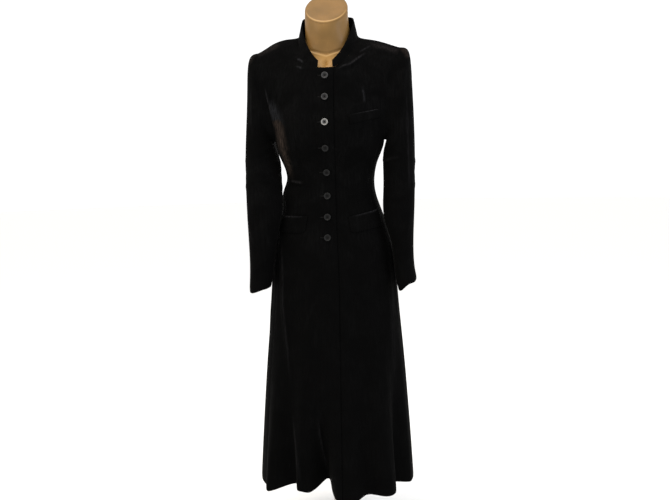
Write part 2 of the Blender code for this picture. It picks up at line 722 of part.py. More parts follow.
def add_loft(name, rings, finish, collection):
    """A closed solid through level or slanted rings, lowest first."""
    sides = len(rings[0])
    points = [p for ring in rings for p in ring]
    faces = [range(sides - 1, -1, -1), range(len(points) - sides, len(points))]
    for first in range(0, len(points) - sides, sides):
        for n in range(sides):
            a, b = first + n, first + (n + 1) % sides
            faces.append((a, b, b + sides, a + sides))
    mesh = bpy.data.meshes.new(name)
    mesh.from_pydata(points, [], [list(face) for face in faces])
    add_piece(name, mesh, finish, collection)


def add_form(collection):
    body = [form_ring(*row) for row in FORM]
    neck = [neck_ring(-NECK_LOW, NECK_R), neck_ring(0.0, NECK_TOP_R)]
    add_loft("form_torso", body + neck, "form", collection)
    cap = [neck_ring(CAP_GAP, NECK_TOP_R), neck_ring(CAP_TOP, NECK_TOP_R)]
    add_loft("form_neck_cap", cap, "form", collection)


def add_stand(collection):
    add_turned("stand_base", BASE_PROFILE, BASE_SIDES, "stand", collection)
    bottom, top = BASE_H + POLE_GAP, FORM[0][0] - POLE_GAP
    middle = (0, 0, (top + bottom) / 2)
    bpy.ops.mesh.primitive_cylinder_add(
        vertices=POLE_SIDES, radius=POLE_R, depth=top - bottom, location=middle)
    pole = bpy.context.object
    pole.name = pole.data.name = "stand_pole"
    pole.data.materials.append(bpy.data.materials["stand"])
    for old in pole.users_collection:
        old.objects.unlink(pole)
    collection.objects.link(pole)


# ---- Assembly -------------------------------------------------------------------------------------
def add_material(name, colour, roughness, metallic):
    made = bpy.data.materials.new(name)
    made.use_nodes = True
    shader = made.node_tree.nodes["Principled BSDF"]
    shader.inputs["Base Color"].default_value = (*colour, 1)
    shader.inputs["Roughness"].default_value = roughness
    shader.inputs["Metallic"].default_value = metallic


def add_piece(name, mesh, finish, collection):
    mesh.materials.append(bpy.data.materials[finish])
    mesh.shade_smooth()
    mesh.set_sharp_from_angle(angle=SMOOTH_ANGLE)
    piece = bpy.data.objects.new(name, mesh)
    collection.objects.link(piece)
    return piece


def add_panels(surface, under, collection):
    """The nine panels; both fronts reach over the lap, the left one under the right one."""
    for name in PANELS:
        if name == "lap":
            continue
        faces = surface.faces_of(name, "lap") if name.startswith("front") else surface.faces_of(name)
        offset = under if name == "front_left" else None
        add_piece(name, wall(name, surface, faces, offset), "velvet", collection)


def add_pockets(tree, collection):
    for side, *place in FLAPS:
        name = f"hip_flap_{side_name(side)}"
        add_pocket(name, flap_spots(tree, side, *place), side < 0, collection)
    add_pocket("breast_welt", welt_spots(tree), False, collection)


def main():
    for old in list(bpy.data.objects):
        bpy.data.objects.remove(old)
    collection = bpy.data.collections.new("overcoat")
    bpy.context.scene.collection.children.link(collection)
    for name, finish in MATERIALS.items():
        add_material(name, *finish)

    surface = Surface(coat_cage())
    under = under_lap(surface)
    fill_out(surface)
    drape(surface)
    wave_cuffs(surface)
    surface.find_normals()
    add_panels(surface, under, collection)

    tree = cloth_tree(surface)
    add_pockets(tree, collection)
    for number, height in enumerate(BUTTON_Z, 1):
        add_button(number, height, tree, collection)
    add_form(collection)
    add_stand(collection)


main()
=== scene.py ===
"""A long fitted overcoat of black velvet, buttoned to a stand collar, on a limbless dress form.

The coat is draped as one smooth cloth and then cut along its seams into panels, as a maker
would sew it: two fronts, two sides, two backs, two sleeves and a collar, with hip flaps, a
breast welt, worked buttonholes and eight buttons.  Metres, +Z up, the wearer's left is +X and
the front faces -Y.
"""

import logging
import math
from dataclasses import dataclass, field
from enum import Enum
from typing import Sequence

import bmesh
import bpy
import numpy as np
from mathutils import Matrix, Vector
from mathutils.bvhtree import BVHTree
from mathutils.kdtree import KDTree


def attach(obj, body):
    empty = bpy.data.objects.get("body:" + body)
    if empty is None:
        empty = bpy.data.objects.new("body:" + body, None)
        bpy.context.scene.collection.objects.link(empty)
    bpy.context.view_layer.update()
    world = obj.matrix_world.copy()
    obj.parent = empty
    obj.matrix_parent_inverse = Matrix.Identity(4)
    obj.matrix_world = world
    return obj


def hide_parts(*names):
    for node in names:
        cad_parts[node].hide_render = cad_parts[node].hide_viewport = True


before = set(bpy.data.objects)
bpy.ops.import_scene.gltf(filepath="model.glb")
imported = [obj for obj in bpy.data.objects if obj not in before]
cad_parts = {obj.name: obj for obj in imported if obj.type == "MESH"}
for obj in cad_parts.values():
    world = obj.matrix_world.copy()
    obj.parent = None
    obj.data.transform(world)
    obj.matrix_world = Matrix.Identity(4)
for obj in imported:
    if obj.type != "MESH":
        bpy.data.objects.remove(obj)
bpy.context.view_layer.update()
LOG = logging.getLogger("overcoat")
BODY_NAME = "root"

Point = tuple[float, float, float]
Pair = tuple[float, float]
Edge = tuple[int, int]
Material = bpy.types.Material
Node = bpy.types.Node
Object = bpy.types.Object
Socket = bpy.types.NodeSocket
Tree = bpy.types.NodeTree


# ---- Words for the sides of the coat ------------------------------------------------------------
class Side(Enum):
    """The wearer's two sides, by the sign of x."""

    RIGHT = -1
    LEFT = 1

    @property
    def word(self) -> str:
        """The side's name as pieces carry it."""
        return self.name.lower()


class Cloth(Enum):
    """The three parts of the coat that creases are drawn on."""

    BODY = ("lap", "front_right", "front_left", "side_right", "side_left", "back_right", "back_left")
    SLEEVES = ("sleeve_right", "sleeve_left")
    COLLAR = ("collar",)


class Facing(Enum):
    """The side that a crease is drawn from, as the way that the cloth faces there."""

    FRONT = (0.0, -1.0)
    BACK = (0.0, 1.0)
    OUTER_RIGHT = (-1.0, 0.0)
    OUTER_LEFT = (1.0, 0.0)


# ---- Finishes -----------------------------------------------------------------------------------
def linear(code: str) -> tuple[float, float, float, float]:
    """Turns an sRGB hex colour into the linear one that shaders take.

    Args:
        code: The colour as "#rrggbb".

    Returns:
        Red, green, blue and alpha, from 0 to 1.
    """
    parts = [int(code[n:n + 2], 16) / 255 for n in (1, 3, 5)]
    red, green, blue = (c / 12.92 if c <= 0.04045 else ((c + 0.055) / 1.055) ** 2.4 for c in parts)
    return red, green, blue, 1.0


def set_inputs(tree: Tree, node: Node, values: dict) -> None:
    """Sets a node's properties and inputs, and links what feeds it.

    Args:
        tree: The material's nodes.
        node: The node.
        values: By the name of a property, or else by the name or number of an input: a number, a
            word, a linear colour, or the output socket that feeds the input.
    """
    for name, value in values.items():
        if isinstance(value, Socket):
            tree.links.new(value, node.inputs[name])
        elif isinstance(name, str) and hasattr(node, name):
            setattr(node, name, value)
        else:
            node.inputs[name].default_value = value


def add_node(tree: Tree, kind: str, values: dict | None = None) -> Node:
    """Adds one node to a material.

    Args:
        tree: The material's nodes.
        kind: The node's type, without the ShaderNode in front.
        values: What set_inputs gives it.

    Returns:
        The new node.
    """
    node = tree.nodes.new("ShaderNode" + kind)
    set_inputs(tree, node, values or {})
    return node


def shade_ramp(tree: Tree, factor: Socket, low: float, high: float, start: float = 0.0,
               end: float = 1.0) -> Socket:
    """Maps a pattern from low..high to start..end and returns the result's socket.

    Args:
        tree: The material's nodes.
        factor: The pattern.
        low: Value of the pattern that gives start.
        high: Value of the pattern that gives end.
        start: Result at low.
        end: Result at high.
    """
    values = {"Value": factor, "From Min": low, "From Max": high, "To Min": start, "To Max": end}
    return add_node(tree, "MapRange", values).outputs["Result"]


def mix_colours(tree: Tree, factor: Socket, first: Socket | str, second: Socket | str) -> Socket:
    """Mixes two colours, each a hex code or a socket, and returns the result's socket.

    Args:
        tree: The material's nodes.
        factor: 0 gives the first colour and 1 the second.
        first: A hex code or a colour socket.
        second: A hex code or a colour socket.
    """
    first, second = (linear(c) if isinstance(c, str) else c for c in (first, second))
    values = {"data_type": "RGBA", 0: factor, 6: first, 7: second}
    return add_node(tree, "Mix", values).outputs[2]


def multiply(tree: Tree, first: Socket, second: Socket | float, clamp: bool = False) -> Socket:
    """Multiplies a pattern by another one or by a number, and returns the result's socket."""
    values = {"operation": "MULTIPLY", "use_clamp": clamp, 0: first, 1: second}
    return add_node(tree, "Math", values).outputs[0]


def object_places(tree: Tree, period: Point | float) -> Socket:
    """Coordinates on the piece in which a pattern repeats about every period, in metres."""
    source = add_node(tree, "TexCoord").outputs["Object"]
    periods = period if isinstance(period, tuple) else (period,) * 3
    scale = tuple(1 / length for length in periods)
    return add_node(tree, "Mapping", {"Scale": scale, "Vector": source}).outputs["Vector"]


def add_noise(tree: Tree, period: Point | float, detail: float, roughness: float = 0.5,
              distortion: float = 0.0) -> Socket:
    """Adds a cloudy pattern and returns its socket.

    Args:
        tree: The material's nodes.
        period: About how far it is from one cloud to the next, in metres.
        detail: How many finer patterns lie on it.
        roughness: How strong the finer patterns are.
        distortion: How far the clouds are pulled about.
    """
    values = {"Scale": 1.0, "Detail": detail, "Roughness": roughness, "Distortion": distortion,
              "Vector": object_places(tree, period)}
    return add_node(tree, "TexNoise", values).outputs["Fac"]


def add_relief(tree: Tree, height: Socket, size: Pair,
               under: Socket | None = None) -> Socket:
    """Raises the surface by a pattern and returns the new normal's socket.

    Args:
        tree: The material's nodes.
        height: The pattern.
        size: Strength, and depth in metres.
        under: The normal of a relief that this one lies on.
    """
    values = {"Strength": size[0], "Distance": size[1], "Height": height}
    if under is not None:
        values["Normal"] = under
    return add_node(tree, "Bump", values).outputs[0]


def read_values(tree: Tree, name: str) -> Socket:
    """The values that add_values wrote on the mesh."""
    return add_node(tree, "Attribute", {"attribute_name": name}).outputs["Fac"]


def read_height(tree: Tree) -> Socket:
    """The height above the floor, in metres."""
    place = add_node(tree, "TexCoord").outputs["Object"]
    return add_node(tree, "SeparateXYZ", {0: place}).outputs["Z"]


def start_material(name: str) -> tuple[Material, Tree, Node]:
    """A new material, its nodes and its surface shader."""
    made = bpy.data.materials.new(name)
    made.use_nodes = True
    return made, made.node_tree, made.node_tree.nodes["Principled BSDF"]


@dataclass(frozen=True)
class RayonVelvet:
    """Black rayon and silk velvet, woven with a cut pile 1.5 mm tall.

    The eye gets nearly all its light from pile that leans over: the ground is a deep black, and a
    soft brown or blue-grey sheen is painted into the colour along creases and folds and where the
    pile faces the lamps; the skirt is painted darker towards the hem, as painted shade.
    """

    name: str = "rayon_velvet"
    ground: str = "#050505"
    ground_light: str = "#0a0a0a"
    # Painted sheen: the colours painted where creases, folds and the pile catch the light.
    warm_sheen_paint: str = "#322a25"
    cool_sheen_paint: str = "#2a2b2e"
    sheen_tint: str = "#8c8884"
    sheen: float = 0.05
    sheen_roughness: float = 0.35
    specular: float = 0.02
    roughness: Pair = (0.95, 0.78)  # between the lit streaks, and in them
    pile_tuft: float = 0.0026  # the real tufts are 0.4 mm apart; drawn this coarse so that they show
    tuft_relief: Pair = (0.45, 0.0007)
    nap_streak: Point = (0.005, 0.005, 0.055)  # the pile lies in streaks down the cloth
    streak_range: Pair = (0.32, 0.68)
    streak_relief: Pair = (0.30, 0.0015)
    crush_patch: float = 0.055  # patches where the pile was pressed
    patch_range: Pair = (0.35, 0.70)
    patch_relief: Pair = (0.35, 0.004)
    fibre_streak: Point = (0.0034, 0.0034, 0.030)  # the painted sheen parts into finer streaks
    fibre_range: Pair = (0.36, 0.64)
    fibre_share: Pair = (0.12, 1.0)
    skirt_shade_heights: Pair = (0.70, 1.02)  # painted shade: the colour and sheen are made darker towards the bottom
    skirt_shade_share: float = 0.35

    def make(self) -> Material:
        """Builds the material."""
        made, tree, shader = start_material(self.name)
        streak = add_noise(tree, self.nap_streak, 4.0, 0.6)
        patch = add_noise(tree, self.crush_patch, 3.0, distortion=0.6)
        tuft = add_noise(tree, self.pile_tuft, 2.0, 0.7)
        fibre = add_noise(tree, self.fibre_streak, 3.0, 0.6)
        # Painted shade: lower on the skirt the ground is kept darker and the sheen weaker.
        painted_skirt_shade = shade_ramp(tree, read_height(tree), *self.skirt_shade_heights, self.skirt_shade_share, 1.0)
        streaky = shade_ramp(tree, streak, *self.streak_range)
        both = multiply(tree, streaky, shade_ramp(tree, patch, *self.patch_range))
        ground = mix_colours(tree, multiply(tree, both, painted_skirt_shade), self.ground, self.ground_light)
        # Painted sheen: where sheen strokes were drawn, brown or blue-grey is mixed into the colour, in
        # streaks.
        pile = mix_colours(tree, read_values(tree, "warmth"), self.cool_sheen_paint, self.warm_sheen_paint)
        ragged = shade_ramp(tree, fibre, *self.fibre_range, *self.fibre_share)
        over = multiply(tree, read_values(tree, "painted_sheen"), ragged, clamp=True)
        soft = add_relief(tree, patch, self.patch_relief)
        lines = add_relief(tree, streak, self.streak_relief, soft)
        set_inputs(tree, shader, {
            "Base Color": mix_colours(tree, over, ground, pile),
            "Roughness": shade_ramp(tree, both, 0.0, 1.0, *self.roughness),
            "Normal": add_relief(tree, tuft, self.tuft_relief, lines),
            "Sheen Weight": multiply(tree, painted_skirt_shade, self.sheen),
            "Sheen Roughness": self.sheen_roughness, "Sheen Tint": linear(self.sheen_tint),
            "Specular IOR Level": self.specular,
        })
        return made


@dataclass(frozen=True)
class PolyesterButton:
    """Cast polyester with a high polish, dark grey with faint clouds, like the horn that it copies."""

    name: str
    body: str
    cloud: str
    painted_dish_shade: str  # painted shade: the dished face is coloured darker than the rim, as the shade in its hollow
    specular: float = 0.5
    roughness: Pair = (0.34, 0.48)
    roughness_range: Pair = (0.3, 0.7)
    cloud_size: float = 0.007
    cloud_range: Pair = (0.35, 0.65)
    relief: Pair = (0.10, 0.0002)

    def make(self) -> Material:
        """Builds the material."""
        made, tree, shader = start_material(self.name)
        cloud = add_noise(tree, self.cloud_size, 3.0, distortion=1.2)
        rim = mix_colours(tree, shade_ramp(tree, cloud, *self.cloud_range), self.cloud, self.body)
        set_inputs(tree, shader, {
            # Painted shade: the dished face is darker than the rim.
            "Base Color": mix_colours(tree, read_values(tree, "painted_dish_shade"), rim, self.painted_dish_shade),
            "Roughness": shade_ramp(tree, cloud, *self.roughness_range, *self.roughness),
            "Normal": add_relief(tree, cloud, self.relief),
            "Specular IOR Level": self.specular,
        })
        return made


# Lit and shaded copies of one polyester: dark is painted shade, plain painted light, pale a painted
# highlight.
BUTTON_CASTS = {
    "dark": PolyesterButton("polyester_button_painted_shade", "#1e1e1e", "#141414", "#090909", 0.12),
    "plain": PolyesterButton("polyester_button_painted_light", "#383838", "#2b2b2b", "#141414", 0.22),
    "pale": PolyesterButton("polyester_button_painted_highlight", "#8a8a86", "#73736f", "#242424"),
}


@dataclass(frozen=True)
class PolyesterThread:
    """Twisted black sewing thread, with the slight gloss of its filaments."""

    name: str = "polyester_thread"
    dark: str = "#050505"
    light: str = "#0e0d0d"
    roughness: float = 0.6
    specular: float = 0.12
    twist: float = 0.0012  # thread twists every 0.6 mm; drawn twice as coarse so that it shows
    twist_blur: float = 1.5
    relief: Pair = (0.5, 0.0003)

    def make(self) -> Material:
        """Builds the material."""
        made, tree, shader = start_material(self.name)
        values = {"Scale": 1.0, "Distortion": self.twist_blur, "bands_direction": "DIAGONAL",
                  "Vector": object_places(tree, self.twist)}
        ply = add_node(tree, "TexWave", values).outputs["Fac"]
        set_inputs(tree, shader, {
            "Base Color": mix_colours(tree, ply, self.dark, self.light),
            "Normal": add_relief(tree, ply, self.relief),
            "Roughness": self.roughness, "Specular IOR Level": self.specular,
        })
        return made


@dataclass(frozen=True)
class PaintedShell:
    """Moulded glass-fibre shell, sprayed with satin tan lacquer.

    The lacquer has a faint orange peel and clouds of a deeper tan, and it is rubbed a little
    duller where garments are pulled over it.
    """

    name: str = "painted_fibreglass_shell"
    lacquer: str = "#7d5d30"
    deeper: str = "#6d5229"
    rubbed: str = "#8d6d3f"
    chest_painted_light: str = "#a17a41"  # painted light: below the neck the shell is painted paler, where it faces up to the light
    chest_heights: Pair = (1.358, 1.370)
    painted_highlight: str = "#b08c59"  # painted highlight: the cap's rim and the crest of the throat are painted paler, where they catch the light
    roughness: Pair = (0.40, 0.58)
    roughness_range: Pair = (0.35, 0.75)
    specular: float = 0.22
    cloud_size: float = 0.060
    cloud_range: Pair = (0.35, 0.65)
    peel_size: float = 0.0035
    peel_relief: Pair = (0.12, 0.0003)
    rub_size: Point = (0.012, 0.012, 0.030)
    rub_range: Pair = (0.58, 0.78)
    rub_share: Pair = (0.0, 0.5)
    coat: float = 0.06
    coat_roughness: float = 0.22

    def make(self) -> Material:
        """Builds the material."""
        made, tree, shader = start_material(self.name)
        cloud = add_noise(tree, self.cloud_size, 4.0)
        rub = add_noise(tree, self.rub_size, 5.0, 0.65)
        peel = add_noise(tree, self.peel_size, 1.0)
        neck = mix_colours(tree, shade_ramp(tree, cloud, *self.cloud_range), self.deeper, self.lacquer)
        # Painted light: below the neck the colour turns paler.
        above_chest = shade_ramp(tree, read_height(tree), *self.chest_heights)
        base = mix_colours(tree, above_chest, self.chest_painted_light, neck)
        rubbing = shade_ramp(tree, rub, *self.rub_range, *self.rub_share)
        dulled = mix_colours(tree, rubbing, base, self.rubbed)
        set_inputs(tree, shader, {
            # Painted highlight on the cap's rim and the crest of the throat.
            "Base Color": mix_colours(tree, read_values(tree, "painted_highlight_share"), dulled, self.painted_highlight),
            "Roughness": shade_ramp(tree, rub, *self.roughness_range, *self.roughness),
            "Normal": add_relief(tree, peel, self.peel_relief),
            "Specular IOR Level": self.specular,
            "Coat Weight": self.coat, "Coat Roughness": self.coat_roughness,
        })
        return made


@dataclass(frozen=True)
class NickelSteel:
    """Nickel-plated steel, with a brush grain along the pole from before plating, and soft smudges."""

    name: str = "nickel_plated_steel"
    plate: str = "#c4c1ba"
    smudge: str = "#a5a29b"
    roughness: Pair = (0.22, 0.40)
    roughness_range: Pair = (0.35, 0.7)
    brush_line: Point = (0.0012, 0.0012, 0.120)
    brush_relief: Pair = (0.15, 0.0002)
    smudge_size: float = 0.045
    smudge_range: Pair = (0.4, 0.7)

    def make(self) -> Material:
        """Builds the material."""
        made, tree, shader = start_material(self.name)
        line = add_noise(tree, self.brush_line, 3.0)
        mark = add_noise(tree, self.smudge_size, 4.0)
        smudged = shade_ramp(tree, mark, *self.smudge_range)
        set_inputs(tree, shader, {
            "Base Color": mix_colours(tree, smudged, self.plate, self.smudge),
            "Roughness": shade_ramp(tree, mark, *self.roughness_range, *self.roughness),
            "Normal": add_relief(tree, line, self.brush_relief),
            "Metallic": 1.0,
        })
        return made


@dataclass(frozen=True)
class StudioPaper:
    """Matt white background paper, with the faint tooth of its fibres."""

    name: str = "studio_paper"
    colour: str = "#f6f5f3"
    shade: str = "#f1f0ee"
    tooth: float = 0.004
    roughness: float = 0.95
    specular: float = 0.1

    def make(self) -> Material:
        """Builds the material."""
        made, tree, shader = start_material(self.name)
        grain = add_noise(tree, self.tooth, 3.0)
        set_inputs(tree, shader, {
            "Base Color": mix_colours(tree, grain, self.shade, self.colour),
            "Roughness": self.roughness, "Specular IOR Level": self.specular,
        })
        return made


# ---- Meshes -------------------------------------------------------------------------------------
def smoothstep(value: np.ndarray | float) -> np.ndarray:
    """0 up to 0, 1 from 1 on, smooth in between."""
    value = np.clip(value, 0.0, 1.0)
    return value * value * (3 - 2 * value)


def bump(distance: np.ndarray, half_width: float) -> np.ndarray:
    """1 in the middle of a fold, 0 from half_width on, smooth in between."""
    return 0.5 + 0.5 * np.cos(np.pi * np.clip(np.abs(distance) / half_width, 0.0, 1.0))


def degrees_from(centre: float, angle: np.ndarray) -> np.ndarray:
    """How many degrees each angle lies round from the centre, from -180 to 180."""
    return (angle - centre + 180) % 360 - 180


def section_place(half_width: float, front: float, back: float, turn: float, square: float) -> Pair:
    """A place of a level section of a body, as x and y.

    Args:
        half_width: Half its width.
        front: Its depth in front.
        back: Its depth behind.
        turn: How far round from the centre front, in radians.
        square: 2 is an ellipse, and more is squarer.
    """
    s, c = math.sin(turn), math.cos(turn)
    power = 2 / square
    depth = front if c > 0 else back
    return half_width * math.copysign(abs(s) ** power, s), -depth * math.copysign(abs(c) ** power, c)


def edge_uses(faces: Sequence[list[int]]) -> dict[Edge, list[tuple[int, int, int]]]:
    """Each edge, and for each face on it the two corners in that face's order and its number."""
    uses: dict[Edge, list] = {}
    for number, face in enumerate(faces):
        for a, b in zip(face, face[1:] + face[:1]):
            uses.setdefault((min(a, b), max(a, b)), []).append((a, b, number))
    return uses


def make_object(name: str, points: Sequence, faces: Sequence, finish: Material,
                sharp: float = 50.0) -> Object:
    """Makes an object of a mesh.

    Args:
        name: Name of the object.
        points: The corners, in metres.
        faces: The faces, as numbers of corners.
        finish: The material.
        sharp: Edges that bend more than this many degrees stay sharp.

    Returns:
        The object, in the scene.
    """
    mesh = bpy.data.meshes.new(name)
    mesh.from_pydata([tuple(p) for p in points], [], faces)
    mesh.materials.append(finish)
    mesh.shade_smooth()
    mesh.set_sharp_from_angle(angle=math.radians(sharp))
    piece = bpy.data.objects.new(name, mesh)
    bpy.context.scene.collection.objects.link(piece)
    return piece


def add_values(mesh: bpy.types.Mesh, name: str, values: Sequence[float]) -> None:
    """Writes one value a point on a mesh, for its material to read."""
    mesh.attributes.new(name, "FLOAT", "POINT").data.foreach_set("value", values)


def seat(piece: Object, slot: str, *nodes: str) -> Object:
    """Lets a piece ride on the part and stand for nodes.

    Args:
        piece: The finished piece.
        slot: The record's material slot; it is not used.
        nodes: The nodes that it stands for.

    Returns:
        The same piece.
    """
    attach(piece, BODY_NAME)
    if nodes:
        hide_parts(*nodes)
    LOG.info("%s: %d faces, for %s", piece.name, len(piece.data.polygons), ", ".join(nodes) or "itself")
    return piece


def loft_faces(rings: int, sides: int, closed_ends: bool = True) -> list[tuple[int, ...]]:
    """Faces between rings of corners that all run the same way round.

    Args:
        rings: Number of rings.
        sides: Corners of a ring.
        closed_ends: Whether the first and the last ring are closed by a face each.

    Returns:
        The faces, as numbers of corners.
    """
    faces = []
    for r in range(rings - 1):
        for n in range(sides):
            m = (n + 1) % sides
            faces.append((r * sides + n, r * sides + m, (r + 1) * sides + m, (r + 1) * sides + n))
    if closed_ends:
        faces += [tuple(range(sides))[::-1], tuple((rings - 1) * sides + n for n in range(sides))]
    return faces


def turned(name: str, profile: Sequence[Pair], sides: int,
           finish: Material, sharp: float = 40.0) -> Object:
    """Turns a profile round the upright axis.

    Args:
        name: Name of the object.
        profile: Radius and height of each ring, in metres, from one end to the other; the ends
            lie off the axis and are closed flat.
        sides: Number of sides.
        finish: The material.
        sharp: Edges that bend more than this many degrees stay sharp.

    Returns:
        The object, at the origin.
    """
    turns = [2 * math.pi * n / sides for n in range(sides)]
    points = [(r * math.cos(t), r * math.sin(t), z) for r, z in profile for t in turns]
    return make_object(name, points, loft_faces(len(profile), sides), finish, sharp)


SLANT = Vector((0.13, -0.97, 0.21))  # no thread runs this way, so it gives each one its sides


def tube(points: Sequence[Vector], radii: Sequence[float], sides: int,
         closed: bool) -> tuple[list[Vector], list[tuple[int, ...]]]:
    """Sweeps a round section along a line.

    Args:
        points: The line.
        radii: Radius at each of its points.
        sides: Sides of the section.
        closed: Whether the line meets its own start.

    Returns:
        Corners and faces.
    """
    count = len(points)
    corners, faces = [], []
    for n, point in enumerate(points):
        before = points[n - 1] if closed or n else points[n]
        after = points[(n + 1) % count] if closed or n < count - 1 else points[n]
        along = (after - before).normalized()
        out = along.cross(SLANT).normalized()
        across = along.cross(out)
        for s in range(sides):
            turn = 2 * math.pi * s / sides
            corners.append(point + (out * math.cos(turn) + across * math.sin(turn)) * radii[n])
    for n in range(count if closed else count - 1):
        here, there = n * sides, (n + 1) % count * sides
        faces += [(here + s, here + (s + 1) % sides, there + (s + 1) % sides, there + s)
                  for s in range(sides)]
    if not closed:
        faces += [tuple(range(sides))[::-1], tuple((count - 1) * sides + s for s in range(sides))]
    return corners, faces


# ---- The cut of the coat ------------------------------------------------------------------------
PANELS = ("front_right", "front_left", "lap", "side_right", "side_left", "back_right",
          "back_left", "sleeve_right", "sleeve_left", "collar")


@dataclass(frozen=True)
class Fold:
    """A fold of the skirt; it grows from its top to the hem."""

    angle: float  # degrees round from the centre front, at the hem
    half_width: float  # degrees
    depth: float  # metres out, or in where it is negative
    top: float
    lift: float  # how far it lifts the hem


@dataclass
class CoatCut:
    """The cage of the whole coat: a few hundred named corners, and the panel of each face."""

    cloth: float = 0.002
    seam_pull: float = 0.00004
    overlap: float = 0.021
    lap_gap: float = 0.0008
    lap_fade: float = 0.034
    hem: float = 0.150
    scye_drop: float = 0.008
    square: float = 2.25
    hip_top: float = 0.85  # above here the columns turn to where they lie at the underarm
    # Level sections from hem to underarm: height, half width, depth in front, depth behind.
    body: tuple = (
        (0.150, 0.2225, 0.205, 0.214), (0.240, 0.2180, 0.196, 0.206), (0.345, 0.2115, 0.183, 0.195),
        (0.455, 0.2040, 0.169, 0.182), (0.565, 0.1950, 0.155, 0.169), (0.680, 0.1825, 0.139, 0.155),
        (0.775, 0.1780, 0.127, 0.145), (0.850, 0.1690, 0.118, 0.132), (0.915, 0.1500, 0.107, 0.113),
        (0.965, 0.1290, 0.099, 0.096), (1.009, 0.1220, 0.096, 0.088), (1.055, 0.1290, 0.104, 0.091),
        (1.100, 0.1455, 0.120, 0.098), (1.133, 0.1530, 0.132, 0.106),
    )
    # Columns of one half in degrees round the section, at the hip and at the underarm.
    front_angles: tuple = ((0, 0), (0, 0), (20, 22), (31, 36), (42, 49), (51, 60), (60, 70))
    side_angles: tuple = ((75, 80), (90, 90), (105, 101))
    back_angles: tuple = ((119, 112), (132, 127), (144, 142), (156, 155), (168, 168), (180, 180))
    # Upper edge of one half, from the centre front over the shoulder to the centre back: x, y, z,
    # and how round each column bends over the shoulder.
    front_yoke: tuple = (
        (0.0000, -0.0880, 1.3260, 1.15), (0.0210, -0.0870, 1.3270, 1.15),
        (0.0470, -0.0775, 1.3370, 1.25), (0.0735, -0.0460, 1.3700, 1.45),
        (0.0890, 0.0100, 1.4180, 1.65), (0.1460, 0.0100, 1.4080, 1.90),
        (0.2030, 0.0040, 1.3860, 2.10),
    )
    back_yoke: tuple = (
        (0.2030, 0.0040, 1.3860, 2.40), (0.1460, 0.0100, 1.4080, 2.20),
        (0.0890, 0.0100, 1.4180, 2.00), (0.0730, 0.0440, 1.4270, 1.90),
        (0.0390, 0.0640, 1.4330, 1.80), (0.0000, 0.0700, 1.4350, 1.80),
    )
    shoulder: int = 3  # columns of the front and the back that meet along the shoulder seam
    yoke_rows: int = 5
    yoke_bunch: float = 1.6
    scye_in: float = 1.1
    scye_hollow: float = 0.006
    # How far the collar's top edge leans in and rises, along the front and along the back.
    collar_front: tuple = ((0.006, 0.0190), (0.010, 0.0310), (0.011, 0.0400), (0.011, 0.0450))
    collar_back: tuple = ((0.008, 0.0440), (0.006, 0.0430), (0.005, 0.0420))
    collar_rows: int = 2
    collar_curve: float = 0.8
    neck_centre: Pair = (0.0, -0.004)
    # Sleeve rings from the head to the cuff: outer x and z, inner x and z, half depth, centre y.
    sleeve_right: tuple = (
        (0.2340, 1.2900, 0.1510, 1.0930, 0.0610, 0.004),
        (0.2380, 1.2000, 0.1385, 1.0500, 0.0590, -0.002),
        (0.2375, 1.1000, 0.1335, 0.9980, 0.0550, -0.044),
        (0.2335, 1.0050, 0.1253, 0.9460, 0.0500, -0.072),
        (0.2295, 0.9200, 0.1350, 0.8980, 0.0470, -0.084),
        (0.2265, 0.8450, 0.1470, 0.8400, 0.0460, -0.084),
        (0.2255, 0.7750, 0.1580, 0.7730, 0.0455, -0.080),
        (0.2305, 0.7160, 0.1680, 0.7180, 0.0470, -0.076),
    )
    sleeve_left: tuple = (
        (0.2345, 1.3000, 0.1475, 1.0950, 0.0610, 0.004),
        (0.2390, 1.2050, 0.1470, 1.0520, 0.0590, 0.000),
        (0.2415, 1.1050, 0.1490, 1.0000, 0.0560, -0.010),
        (0.2410, 1.0100, 0.1460, 0.9500, 0.0540, -0.026),
        (0.2385, 0.9250, 0.1490, 0.9010, 0.0500, -0.044),
        (0.2340, 0.8500, 0.1730, 0.8460, 0.0470, -0.052),
        (0.2345, 0.7820, 0.1770, 0.7800, 0.0460, -0.056),
        (0.2430, 0.7340, 0.1850, 0.7240, 0.0470, -0.060),
    )
    sleeve_turns: tuple = (0, 26, 52, 78, 103, 128, 154, 180, 206, 232, 257, 282, 308, 334)
    head_out: float = 0.0130
    head_up: float = 0.016
    head_up_top: float = 0.028
    scye_crease: float = 0.35
    collar_crease: float = 0.8
    index: dict = field(default_factory=dict)
    points: list = field(default_factory=list)
    faces: list = field(default_factory=list)
    panels: list = field(default_factory=list)
    creases: list = field(default_factory=list)

    def __post_init__(self) -> None:
        """Works out the numbers of the columns and builds both halves."""
        self.last_front = len(self.front_angles) - 1
        self.first_back = self.last_front + len(self.side_angles) + 1
        self.centre_back = self.first_back + len(self.back_angles) - 1
        for side in Side:
            self.add_body(side)
            self.add_sleeve(side)
            self.add_collar(side)

    def corner(self, key: tuple, point: Point) -> None:
        """Adds a corner unless the other half has already made it."""
        if key not in self.index:
            self.index[key] = len(self.points)
            self.points.append(point)

    def face(self, keys: Sequence[tuple], panel: str, side: Side) -> None:
        """Adds a face; on the right its corners run the other way round."""
        corners = [self.index[key] for key in keys]
        self.faces.append(corners[::-1] if side is Side.RIGHT else corners)
        self.panels.append(PANELS.index(panel))

    def section_point(self, row: int, angle: float) -> Pair:
        """A point of a level section of the body, angle degrees round from the centre front."""
        return section_place(*self.body[row][1:], math.radians(angle), self.square)

